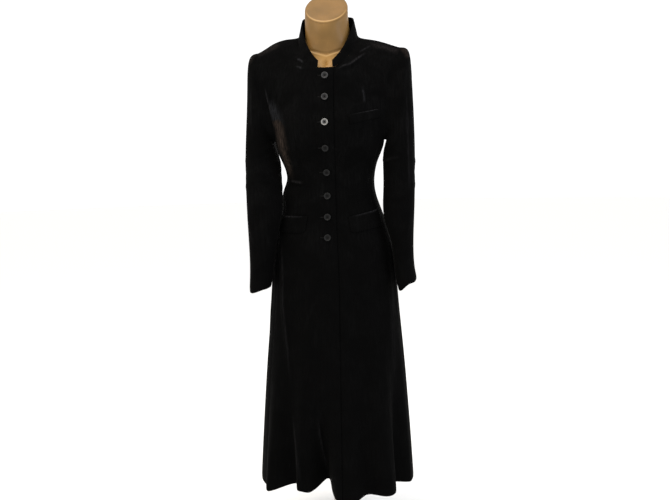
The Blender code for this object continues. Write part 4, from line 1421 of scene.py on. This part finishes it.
        # Painted sheen and its tint, for the material to read.
        for word, values in (("painted_sheen", surface.painted_sheen), ("warmth", surface.warmth)):
            add_values(piece.data, word, np.concatenate([values[used], np.zeros(count)]))
        return seat(piece, "velvet", name)

    def build(self, fine: ClothSurface, velvet: Material) -> dict[str, Object]:
        """Builds every panel.

        Args:
            fine: The draped cloth at its finest, for the panels that need it.
            velvet: The finish.

        Returns:
            The panels by name.
        """
        plain = self.drape(self.plain_levels)
        return {name: self.panel(name, fine if name in self.fine_panels else plain, velvet)
                for name in PANELS if name != "lap"}


# ---- Pieces sewn on the cloth -------------------------------------------------------------------
class Ground:
    """The finished body of the coat, to lay pieces on."""

    far: float = 0.5  # rays start this far from the middle of the coat, clear of all of it

    def __init__(self, surface: ClothSurface) -> None:
        """Keeps the body of the cloth without sleeves and collar."""
        faces = surface.faces_of(Cloth.BODY.value).tolist()
        self.tree = BVHTree.FromPolygons([tuple(p) for p in surface.points], faces)

    def under(self, start: Vector, direction: Vector) -> tuple[Vector, Vector]:
        """The first point of the cloth on a ray, and its outward normal."""
        point, normal, _, _ = self.tree.ray_cast(start, direction)
        return point, normal if normal.dot(direction) < 0 else -normal

    def in_front(self, x: float, z: float) -> tuple[Vector, Vector]:
        """The point of the front at x and z, and its outward normal."""
        return self.under(Vector((x, -self.far, z)), Vector((0, 1, 0)))


@dataclass
class Pockets:
    """Two hip flaps and a slanted breast welt, each a thin padded piece that follows the body."""

    cloth: float = 0.002
    lift: float = 0.0012
    cells: tuple[int, int] = (40, 16)
    flap_size: Pair = (0.112, 0.046)
    # Degrees round the hip to each flap's middle, the height of its top edge there, and the
    # degrees that its outer end is turned up.
    flap_places: dict = field(default_factory=lambda: {
        Side.RIGHT: (52.0, 0.9200, -1.0), Side.LEFT: (52.0, 0.9265, 9.0)})
    round_off: float = 0.006  # how far the flaps' lower corners are rounded off
    round_power: int = 8
    hip_radius: float = 0.140
    hip_spread: float = 0.25
    welt_size: Pair = (0.080, 0.024)
    welt_place: Pair = (0.104, 1.203)
    welt_tilt: float = math.radians(12)
    crown: float = 0.0008  # the middle stands this much prouder than the edges
    edge_share: float = 0.45  # share of its thickness that a piece has at its edges
    fold_share: float = 0.55  # how full it is at the fold along its top
    fullness_rates: Pair = (12.0, 10.0)  # how fast it fills out from the edges and from the fold
    ridge_painted_sheen: float = 0.85  # painted highlight: how strongly sheen is painted along the top fold, most at its outer end
    ridge_rows: float = 2.0
    ridge_rates: Pair = (0.7, 6.0)  # how the painted sheen grows outward, and from both ends
    ridge_warmth: float = 0.15
    sharp: float = 70.0

    def grid(self) -> list[Pair]:
        """Every place of a piece, across and down from 0 to 1, row by row."""
        columns, rows = self.cells
        return [(c / columns, r / rows) for r in range(rows + 1) for c in range(columns + 1)]

    def flap(self, ground: Ground, side: Side, velvet: Material) -> Object:
        """Builds one hip flap, a little rounded at its lower corners."""
        width, height = self.flap_size
        middle, top, tilt = self.flap_places[side]
        spots = []
        for across, down in self.grid():
            along = (across - 0.5) * width
            round_off = self.round_off * abs(2 * across - 1) ** self.round_power * down
            z = top - (height - round_off) * down + along * math.sin(math.radians(tilt))
            radius = self.hip_radius + (top - z) * self.hip_spread
            angle = math.radians(middle) + along / radius
            out = Vector((side.value * math.sin(angle), -math.cos(angle), 0))
            spots.append(ground.under(out * ground.far + Vector((0, 0, z)), -out))
        return self.padded_piece(f"hip_flap_{side.word}", spots, velvet)

    def welt(self, ground: Ground, velvet: Material) -> Object:
        """Builds the breast welt, higher at its outer end."""
        width, height = self.welt_size
        s, c = math.sin(self.welt_tilt), math.cos(self.welt_tilt)
        spots = []
        for across, down in self.grid():
            along, below = (across - 0.5) * width, down * height
            x = self.welt_place[0] + along * c + below * s
            z = self.welt_place[1] + along * s - below * c
            spots.append(ground.in_front(x, z))
        return self.padded_piece("breast_welt", spots, velvet)

    def padded_piece(self, node: str, spots: list, velvet: Material) -> Object:
        """Builds a piece over a grid of spots on the cloth.

        Args:
            node: The node that it stands for.
            spots: Point and normal of each place, row by row from the top fold down.
            velvet: The finish.

        Returns:
            The piece.
        """
        columns, rows = self.cells
        count = len(spots)
        inner, outer, lean = [], [], []
        for number, ((point, normal), (across, down)) in enumerate(zip(spots, self.grid())):
            row = number // (columns + 1)
            from_end = min(across, 1 - across)
            from_edge = self.fullness_rates[0] * min(from_end, (1 - down) * 0.5)
            full = min(1.0, from_edge, self.fullness_rates[1] * down + self.fold_share)
            thickness = self.edge_share + (1 - self.edge_share) * math.sqrt(max(full, 0.0))
            inner.append(point + normal * self.lift)
            outer.append(point + normal * (self.lift + self.cloth * thickness + self.crown * full))
            # Painted highlight: sheen painted along the top fold.
            outward = float(smoothstep(across / self.ridge_rates[0]))
            near_fold = max(0.0, 1 - row / self.ridge_rows)
            lean.append(self.ridge_painted_sheen * outward * near_fold * min(1.0, self.ridge_rates[1] * from_end))
        below, above = np.arange(2 * count).reshape(2, rows + 1, columns + 1).tolist()
        faces = []
        for r in range(rows):
            for c in range(columns):
                for layer, way in ((above, 1), (below, -1)):
                    ring = (layer[r][c], layer[r + 1][c], layer[r + 1][c + 1], layer[r][c + 1])
                    faces.append(ring[::way])
        rim = [(0, c) for c in range(columns + 1)] + [(r, columns) for r in range(1, rows + 1)]
        rim += [(rows, c) for c in range(columns - 1, -1, -1)] + [(r, 0) for r in range(rows - 1, 0, -1)]
        for (r0, c0), (r1, c1) in zip(rim, rim[1:] + rim[:1]):
            faces.append((above[r0][c0], above[r1][c1], below[r1][c1], below[r0][c0]))
        piece = make_object(f"velvet_{node}", inner + outer, faces, velvet, self.sharp)
        turned_out = bmesh.new()
        turned_out.from_mesh(piece.data)
        bmesh.ops.recalc_face_normals(turned_out, faces=turned_out.faces)
        turned_out.to_mesh(piece.data)
        turned_out.free()
        # Painted sheen on the outer face, and its tint.
        add_values(piece.data, "painted_sheen", [0.0] * count + lean)
        add_values(piece.data, "warmth", [self.ridge_warmth] * (2 * count))
        return seat(piece, "velvet", node)


@dataclass
class Buttons:
    """Eight buttons with a high polish, a raised rim and four holes, sewn on with crossed thread."""

    lift: float = 0.0004
    heights: tuple = (1.304, 1.246, 1.178, 1.108, 1.041, 0.976, 0.918, 0.862)
    # Radius and height from the back round to the middle of the dished face.
    profile: tuple = (
        (0.0010, 0.0), (0.0060, 0.0), (0.0082, 0.0003), (0.0094, 0.0009), (0.0099, 0.0018),
        (0.0100, 0.0027), (0.0098, 0.0034), (0.0093, 0.0039), (0.0086, 0.0040), (0.0079, 0.0038),
        (0.0073, 0.0033), (0.0067, 0.0028), (0.0060, 0.0026), (0.0010, 0.0025),
    )
    size: float = 0.93  # they are turned a little smaller than their solids
    sides: int = 48
    sharp: Pair = (60.0, 40.0)  # degrees, as turned and once drilled
    holes: int = 4
    hole_radius: float = 0.0009
    hole_place: float = 0.0017  # half the way from a hole to the next one
    hole_diagonal: float = 1.414  # a hole lies this many times as far from the middle
    drill_sides: int = 14
    drill_depth: float = 0.02
    thread_radius: float = 0.00042
    thread_sides: int = 6
    strand_gap: float = 1.5  # in radii of the thread
    stitch_steps: int = 12
    stitch_reach: float = 1.38  # a stitch ends this many hole places from the middle
    # Height of a stitch at its ends, its arch, how far its ends sink, and the crossing one's lift.
    stitch_heights: tuple = (0.0026, 0.0006, 0.0016, 0.0004)
    dish_edge: Pair = (0.0053, 0.0014)  # where the painted shade of the face ends, and its fade
    painted_lighter: tuple = (1, 2)  # painted light: these are cast lighter, as they catch more light than the lower ones
    highlit_button: int = 3  # painted highlight: the third button is cast paler, where it catches the light

    def cast(self, name: str, finish: Material) -> Object:
        """Turns a button and drills its four holes."""
        profile = [(radius * self.size, height) for radius, height in self.profile]
        blank = turned(name, profile, self.sides, finish, self.sharp[0])
        away = self.hole_place * self.hole_diagonal
        drills = []
        for number in range(self.holes):
            angle = math.radians(45 + 360 / self.holes * number)
            bpy.ops.mesh.primitive_cylinder_add(
                vertices=self.drill_sides, radius=self.hole_radius, depth=self.drill_depth,
                location=(away * math.cos(angle), away * math.sin(angle), 0))
            drills.append(bpy.context.object)
        for drill in drills:
            cut = blank.modifiers.new("hole", "BOOLEAN")
            cut.operation, cut.solver, cut.object = "DIFFERENCE", "EXACT", drill
        graph = bpy.context.evaluated_depsgraph_get()
        mesh = bpy.data.meshes.new_from_object(blank.evaluated_get(graph))
        blank.modifiers.clear()
        blank.data = mesh
        mesh.shade_smooth()
        mesh.set_sharp_from_angle(angle=math.radians(self.sharp[1]))
        for drill in drills:
            bpy.data.objects.remove(drill)
        # Painted shade in the dished face, for the material to read.
        edge, fade = self.dish_edge
        radii = np.array([v.co.xy.length for v in mesh.vertices])
        add_values(mesh, "painted_dish_shade", 1 - smoothstep((radii - edge) / fade))
        return blank

    def thread(self, name: str, finish: Material) -> Object:
        """Lays two crossed stitches through the four holes."""
        height, arch, sink, over = self.stitch_heights
        points, faces = [], []
        for turn, lift in ((45, 0.0), (135, over)):
            way = Vector((math.cos(math.radians(turn)), math.sin(math.radians(turn)), 0))
            side = Vector((-way.y, way.x, 0)) * self.thread_radius * self.strand_gap
            for strand in (-1, 0, 1):
                line = []
                for step in range(self.stitch_steps + 1):
                    share = 2 * step / self.stitch_steps - 1
                    rise = height + arch * (1 - share ** 4) - (sink if abs(share) == 1 else 0)
                    place = way * share * self.hole_place * self.stitch_reach + side * strand
                    line.append(place + Vector((0, 0, rise + lift)))
                corners, rings = tube(line, [self.thread_radius] * len(line), self.thread_sides, False)
                faces += [tuple(v + len(points) for v in face) for face in rings]
                points += corners
        return make_object(name, points, faces, finish)

    def build(self, ground: Ground, finishes: dict[str, Material],
              thread: Material) -> list[Object]:
        """Sews the buttons on.

        Args:
            ground: The cloth that they lie on.
            finishes: The "dark", "plain" and "pale" casts of polyester: painted shade, painted light and a
                painted highlight.
            thread: The sewing thread.

        Returns:
            Every button and its thread.
        """
        made = []
        for number, height in enumerate(self.heights, 1):
            point, normal = ground.in_front(0.0, height)
            turn = normal.to_track_quat("Z", "Y").to_matrix().to_4x4()
            place = Matrix.Translation(point + normal * self.lift) @ turn
            # Painted light and shade: each button takes the cast that matches the light that it catches.
            shade = "pale" if number == self.highlit_button else "plain" if number in self.painted_lighter else "dark"
            disc = self.cast(f"sewn_button_{number}", finishes[shade])
            stitches = self.thread(f"button_thread_{number}", thread)
            for piece in (disc, stitches):
                piece.data.transform(place)
            made += [seat(disc, "button", f"button_{number}"), seat(stitches, "velvet")]
        return made


@dataclass
class Buttonholes:
    """Eight worked buttonholes that run in from the buttons across the right front."""

    start: float = -0.004
    length: float = 0.016
    half_gap: float = 0.0009
    bead: float = 0.0006
    stitch: float = 0.0013  # real stitches are 0.7 mm apart; drawn coarser so that they show
    steps: int = 96
    rise: float = 0.4  # the beads' middle lies this many radii above the cloth
    squareness: float = 0.5  # power of the sine that keeps the two long edges straight
    beading: float = 0.25  # share by which each stitch swells the thread
    tack: float = 1.6  # the inner end's bar is this much thicker
    tack_from: float = -0.97  # it starts at this cosine
    sides: int = 8

    def build(self, ground: Ground, thread: Material) -> list[Object]:
        """Works each buttonhole as one beaded ring of stitches.

        Args:
            ground: The cloth that they lie on.
            thread: The buttonhole thread.

        Returns:
            The buttonholes.
        """
        made = []
        stitches = 2 * self.length / self.stitch
        for number, height in enumerate(Buttons.heights, 1):
            line, radii = [], []
            for step in range(self.steps):
                turn = 2 * math.pi * step / self.steps
                s, c = math.sin(turn), math.cos(turn)
                x = self.start - self.length / 2 + self.length / 2 * c
                z = height + self.half_gap * math.copysign(abs(s) ** self.squareness, s)
                point, normal = ground.in_front(x, z)
                line.append(point + normal * self.bead * self.rise)
                end_bar = self.tack if c < self.tack_from else 1.0
                radii.append(self.bead * (1 + self.beading * math.sin(turn * stitches)) * end_bar)
            corners, faces = tube(line, radii, self.sides, True)
            made.append(seat(make_object(f"buttonhole_{number}", corners, faces, thread), "velvet"))
        return made


# ---- Dress form and stand -----------------------------------------------------------------------
@dataclass
class DressForm:
    """A limbless shell of bust and hips with a neck that is cut on the slant."""

    # Height, half width, depth in front and behind of each level section.
    sections: tuple = (
        (0.740, 0.105, 0.070, 0.085), (0.752, 0.146, 0.100, 0.116), (0.800, 0.158, 0.108, 0.126),
        (0.850, 0.151, 0.106, 0.119), (0.915, 0.134, 0.095, 0.100), (0.965, 0.116, 0.087, 0.084),
        (1.009, 0.110, 0.084, 0.076), (1.055, 0.116, 0.092, 0.079), (1.100, 0.130, 0.107, 0.086),
        (1.145, 0.136, 0.112, 0.092), (1.190, 0.139, 0.112, 0.097), (1.235, 0.141, 0.101, 0.097),
        (1.290, 0.143, 0.082, 0.090), (1.325, 0.136, 0.066, 0.078), (1.350, 0.116, 0.053, 0.069),
        (1.368, 0.090, 0.050, 0.061), (1.384, 0.071, 0.050, 0.055), (1.404, 0.063, 0.052, 0.050),
    )
    square: float = 2.15
    neck_radii: Pair = (0.0605, 0.0530)
    neck_top_radii: Pair = (0.0600, 0.0525)
    neck_centre: Pair = (-0.002, -0.003)
    neck_front: float = 1.446
    neck_back: float = 1.534
    # The cap, from its underside over the rounded rim: share of the neck's radii, and height.
    cap: tuple = (
        (0.985, 0.0004), (1.0, 0.0006), (1.0, 0.0010), (0.996, 0.0020), (0.986, 0.0030),
        (0.970, 0.0040), (0.948, 0.0047), (0.920, 0.0053), (0.885, 0.0057), (0.840, 0.0060),
        (0.75, 0.0058), (0.50, 0.0056), (0.20, 0.0056),
    )
    foot_edge: Pair = (0.94, 0.0006)  # the lower edge is eased: share of its size, and height
    neck_rows: Pair = (-0.030, -0.015)  # below the cut
    neck_edge: Pair = (-0.001, 0.99)  # the upper edge is eased: height, and share of its size
    sides: int = 160
    rows_between: int = 8
    sharp: float = 50.0
    front_fade: float = 0.02
    notch: tuple = (0.0, 1.336, 0.008, 0.018, 0.0070)  # the hollow of the throat
    # Where the neck meets the body below it: height, rise to the sides, reach and depth.
    neck_crease: tuple = (1.363, 0.30, 0.007, 0.0018)
    throat_highlight: Pair = (0.0045, 0.0030)  # painted highlight: how far below the crease it lies, and reach
    # Painted highlight along the cap's rim at the front: share of its radius, reach, and depth of the fade.
    rim_highlight: tuple[float, float, float] = (0.955, 0.035, 0.050)

    def ring(self, half_width: float, front: float, back: float, height: float) -> np.ndarray:
        """The corners of one level section."""
        turns = [2 * math.pi * n / self.sides for n in range(self.sides)]
        return np.array([(*section_place(half_width, front, back, turn, self.square), height)
                         for turn in turns])

    def neck_ring(self, radii: Pair, lift: float, size: float = 1.0) -> np.ndarray:
        """A slanted ring of the neck.

        Args:
            radii: Half width and half depth.
            lift: How far above the cut it lies.
            size: Share of the radii.
        """
        corners = []
        for n in range(self.sides):
            turn = 2 * math.pi * n / self.sides
            x = self.neck_centre[0] + size * radii[0] * math.sin(turn)
            y = self.neck_centre[1] - size * radii[1] * math.cos(turn)
            share = (1 - size * math.cos(turn)) / 2
            corners.append((x, y, self.neck_front + (self.neck_back - self.neck_front) * share + lift))
        return np.array(corners)

    def torso(self, shell: Material) -> Object:
        """Builds the shell from its base to the cut of the neck.

        Args:
            shell: The finish.

        Returns:
            The shell.
        """
        table = np.array(self.sections)
        rows = np.concatenate([np.linspace(n, n + 1, self.rows_between, endpoint=False)
                               for n in range(1, len(table) - 1)] + [[len(table) - 1]])
        fine = [self.spline(table, row) for row in rows]
        foot, foot_size, (eased, rise) = table[0, 0], table[0, 1:], self.foot_edge
        rings = [self.ring(*foot_size * eased, foot), self.ring(*foot_size, foot + rise)]
        rings += [self.ring(*row[1:], row[0]) for row in fine]
        rings += [self.neck_ring(self.neck_radii, lift) for lift in self.neck_rows]
        lift, eased = self.neck_edge
        rings += [self.neck_ring(self.neck_top_radii, lift)]
        rings += [self.neck_ring(self.neck_top_radii, 0.0, eased)]
        points = np.concatenate(rings)
        front = smoothstep(-points[:, 1] / self.front_fade)
        x, z, reach_x, reach_z, depth = self.notch
        away = np.hypot((points[:, 0] - x) / reach_x, (points[:, 2] - z) / reach_z)
        height, rise, reach, groove = self.neck_crease
        above = points[:, 2] - height - rise * np.abs(points[:, 0])
        points[:, 1] += front * (depth * bump(away, 1.0) + groove * bump(above, reach))
        piece = make_object("form_shell", points, loft_faces(len(rings), self.sides), shell, self.sharp)
        # Painted highlight along the crest just below the crease.
        below, fade = self.throat_highlight
        add_values(piece.data, "painted_highlight_share", front * bump(above + below, fade))
        return seat(piece, "form", "form_torso")

    @staticmethod
    def spline(table: np.ndarray, row: float) -> np.ndarray:
        """A section between two of the table's, on a smooth line through all of them."""
        n = min(int(row), len(table) - 2)
        t = row - n
        p0, p1, p2, p3 = (table[min(max(n + k, 1), len(table) - 1)] for k in (-1, 0, 1, 2))
        return 0.5 * (2 * p1 + (p2 - p0) * t + (2 * p0 - 5 * p1 + 4 * p2 - p3) * t ** 2
                      + (3 * p1 - p0 - 3 * p2 + p3) * t ** 3)

    def neck_cap(self, shell: Material) -> Object:
        """Builds the slanted cap, with a rounded rim."""
        points = np.concatenate([self.neck_ring(self.neck_top_radii, lift, size)
                                 for size, lift in self.cap])
        piece = make_object("form_cap", points, loft_faces(len(self.cap), self.sides), shell, self.sharp)
        # Painted highlight along the front of the rim.
        middle, reach, fade = self.rim_highlight
        sizes = np.repeat([size for size, _ in self.cap], self.sides)
        front = smoothstep(-points[:, 1] / fade)
        add_values(piece.data, "painted_highlight_share", front * bump(sizes - middle, reach))
        return seat(piece, "form", "form_neck_cap")


@dataclass
class Stand:
    """A weighted round base and a pole with its clamp collar."""

    # Radius and height, from the underside over the rolled edge to the low dome.
    base_profile: tuple = (
        (0.001, 0.0), (0.133, 0.0), (0.137, 0.0012), (0.139, 0.0040), (0.139, 0.0075),
        (0.1378, 0.0098), (0.1348, 0.0112), (0.127, 0.0118), (0.099, 0.0126), (0.045, 0.0136),
        (0.024, 0.014), (0.001, 0.014),
    )
    base_sides: int = 96
    pole_radius: float = 0.0125
    pole_span: Pair = (0.0143, 0.7397)
    pole_sides: int = 48
    core: float = 0.001  # the ends are closed flat inside this radius
    edge: float = 0.001
    collar: tuple = (0.0175, 0.028, 0.003)  # radius, height, and the slope of its top
    grooves: Pair = (0.35, 0.68)  # shares of the pole's length
    groove: tuple = (0.0015, 0.0006, 0.0008)  # half heights outside and inside, and depth

    def base(self, steel: Material) -> Object:
        """Turns the base."""
        piece = turned("steel_base", self.base_profile, self.base_sides, steel)
        return seat(piece, "stand", "stand_base")

    def pole(self, steel: Material) -> Object:
        """Turns the pole, with a foot collar and a groove at each third."""
        r, core, edge = self.pole_radius, self.core, self.edge
        low, high = self.pole_span
        wide, tall, slope = self.collar
        profile = [(core, low), (wide - edge, low), (wide, low + edge), (wide, low + tall - slope),
                   (wide - slope, low + tall), (r, low + tall)]
        outside, inside, depth = self.groove
        for share in self.grooves:
            z = low + (high - low) * share
            profile += [(r, z - outside), (r - depth, z - inside), (r - depth, z + inside), (r, z + outside)]
        profile += [(r, high - edge), (r - edge, high), (core, high)]
        return seat(turned("steel_pole", profile, self.pole_sides, steel), "stand", "stand_pole")


# ---- Studio -------------------------------------------------------------------------------------
@dataclass(frozen=True)
class Lamp:
    """A soft rectangular lamp that points at a place on the coat."""

    name: str
    place: Point
    size: float
    watts: float
    colour: str
    aim: Point = (0.0, 0.0, 0.95)

    def build(self) -> None:
        """Hangs the lamp."""
        light = bpy.data.lights.new(self.name, "AREA")
        light.shape, light.size, light.energy = "SQUARE", self.size, self.watts
        light.color = linear(self.colour)[:3]
        lamp = bpy.data.objects.new(self.name, light)
        lamp.location = self.place
        lamp.rotation_mode = "QUATERNION"
        lamp.rotation_quaternion = (Vector(self.aim) - Vector(self.place)).to_track_quat("-Z", "Y")
        bpy.context.scene.collection.objects.link(lamp)


@dataclass
class Studio:
    """White floor and surroundings, soft lamps, and the camera of the photograph."""

    floor_radius: float = 14.0
    floor_sides: int = 128
    floor_height: float = -0.0004  # just below the base, so that the two don't share a plane
    surround: str = "#ffffff"
    surround_strength: float = 1.12
    lamps: tuple = (
        Lamp("ceiling_lamp", (-0.5, -0.7, 3.3), 1.4, 30.0, "#fff4e6"),
        Lamp("right_lamp", (-2.2, -2.2, 2.2), 1.2, 16.0, "#fff2e2"),
        Lamp("left_lamp", (2.3, -1.2, 2.0), 1.2, 16.0, "#dfe8ff"),
        Lamp("back_lamp", (0.6, 2.6, 2.4), 1.4, 24.0, "#ffffff"),
    )
    distance: float = 2.8
    height: float = 1.15
    swing: float = math.radians(6.5)
    tilt: float = math.radians(6.84)
    roll: float = math.radians(1.3)
    focal_pixels: float = 982.0
    image_width: float = 670.0
    shift_pixels: float = 2.4
    sensor: float = 36.0

    def floor(self, paper: Material) -> None:
        """Lays the floor."""
        turns = [2 * math.pi * n / self.floor_sides for n in range(self.floor_sides)]
        ring = [(self.floor_radius * math.cos(t), self.floor_radius * math.sin(t), self.floor_height)
                for t in turns]
        make_object("studio_floor", ring, [tuple(range(self.floor_sides))], paper)

    def surroundings(self) -> None:
        """Surrounds the stage with white, and shows the tones as they are."""
        world = bpy.data.worlds.new("studio_white")
        world.use_nodes = True
        back = world.node_tree.nodes["Background"]
        back.inputs["Color"].default_value = linear(self.surround)
        back.inputs["Strength"].default_value = self.surround_strength
        bpy.context.scene.world = world
        bpy.context.scene.view_settings.view_transform = "Standard"

    def camera(self) -> None:
        """Sets up the camera at the photograph's angle."""
        s, c = math.sin(self.swing), math.cos(self.swing)
        down, level = math.sin(self.tilt), math.cos(self.tilt)
        forward = Vector((-s * level, c * level, -down))
        turn = forward.to_track_quat("-Z", "Y").to_matrix() @ Matrix.Rotation(-self.roll, 3, "Z")
        data = bpy.data.cameras.new("camera")
        data.sensor_width = self.sensor
        data.lens = self.focal_pixels / self.image_width * self.sensor
        data.shift_x = self.shift_pixels / self.image_width
        view = bpy.data.objects.new("camera", data)
        bpy.context.scene.collection.objects.link(view)
        place = Vector((self.distance * s, -self.distance * c, self.height))
        view.matrix_world = Matrix.Translation(place) @ turn.to_4x4()
        bpy.context.scene.camera = view

    def build(self) -> None:
        """Sets the whole stage."""
        self.camera()
        self.surroundings()
        self.floor(StudioPaper().make())
        for lamp in self.lamps:
            lamp.build()


def main() -> None:
    """Builds the stage, the form and its stand, the coat, and what is sewn on it."""
    logging.basicConfig(level=logging.INFO, format="%(name)s: %(message)s")
    Studio().build()
    shell, steel = PaintedShell().make(), NickelSteel().make()
    velvet, thread = RayonVelvet().make(), PolyesterThread().make()
    casts = {shade: cast.make() for shade, cast in BUTTON_CASTS.items()}

    form, stand = DressForm(), Stand()
    form.torso(shell)
    form.neck_cap(shell)
    stand.base(steel)
    stand.pole(steel)

    coat = Overcoat()
    surface = coat.drape(coat.fine_levels)
    panels = coat.build(surface, velvet)
    ground = Ground(surface)
    pockets = Pockets()
    right_flap = pockets.flap(ground, Side.RIGHT, velvet)
    left_flap = pockets.flap(ground, Side.LEFT, velvet)
    welt = pockets.welt(ground, velvet)
    Buttons().build(ground, casts, thread)
    holes = Buttonholes().build(ground, thread)


if __name__ == "__main__":
    main()
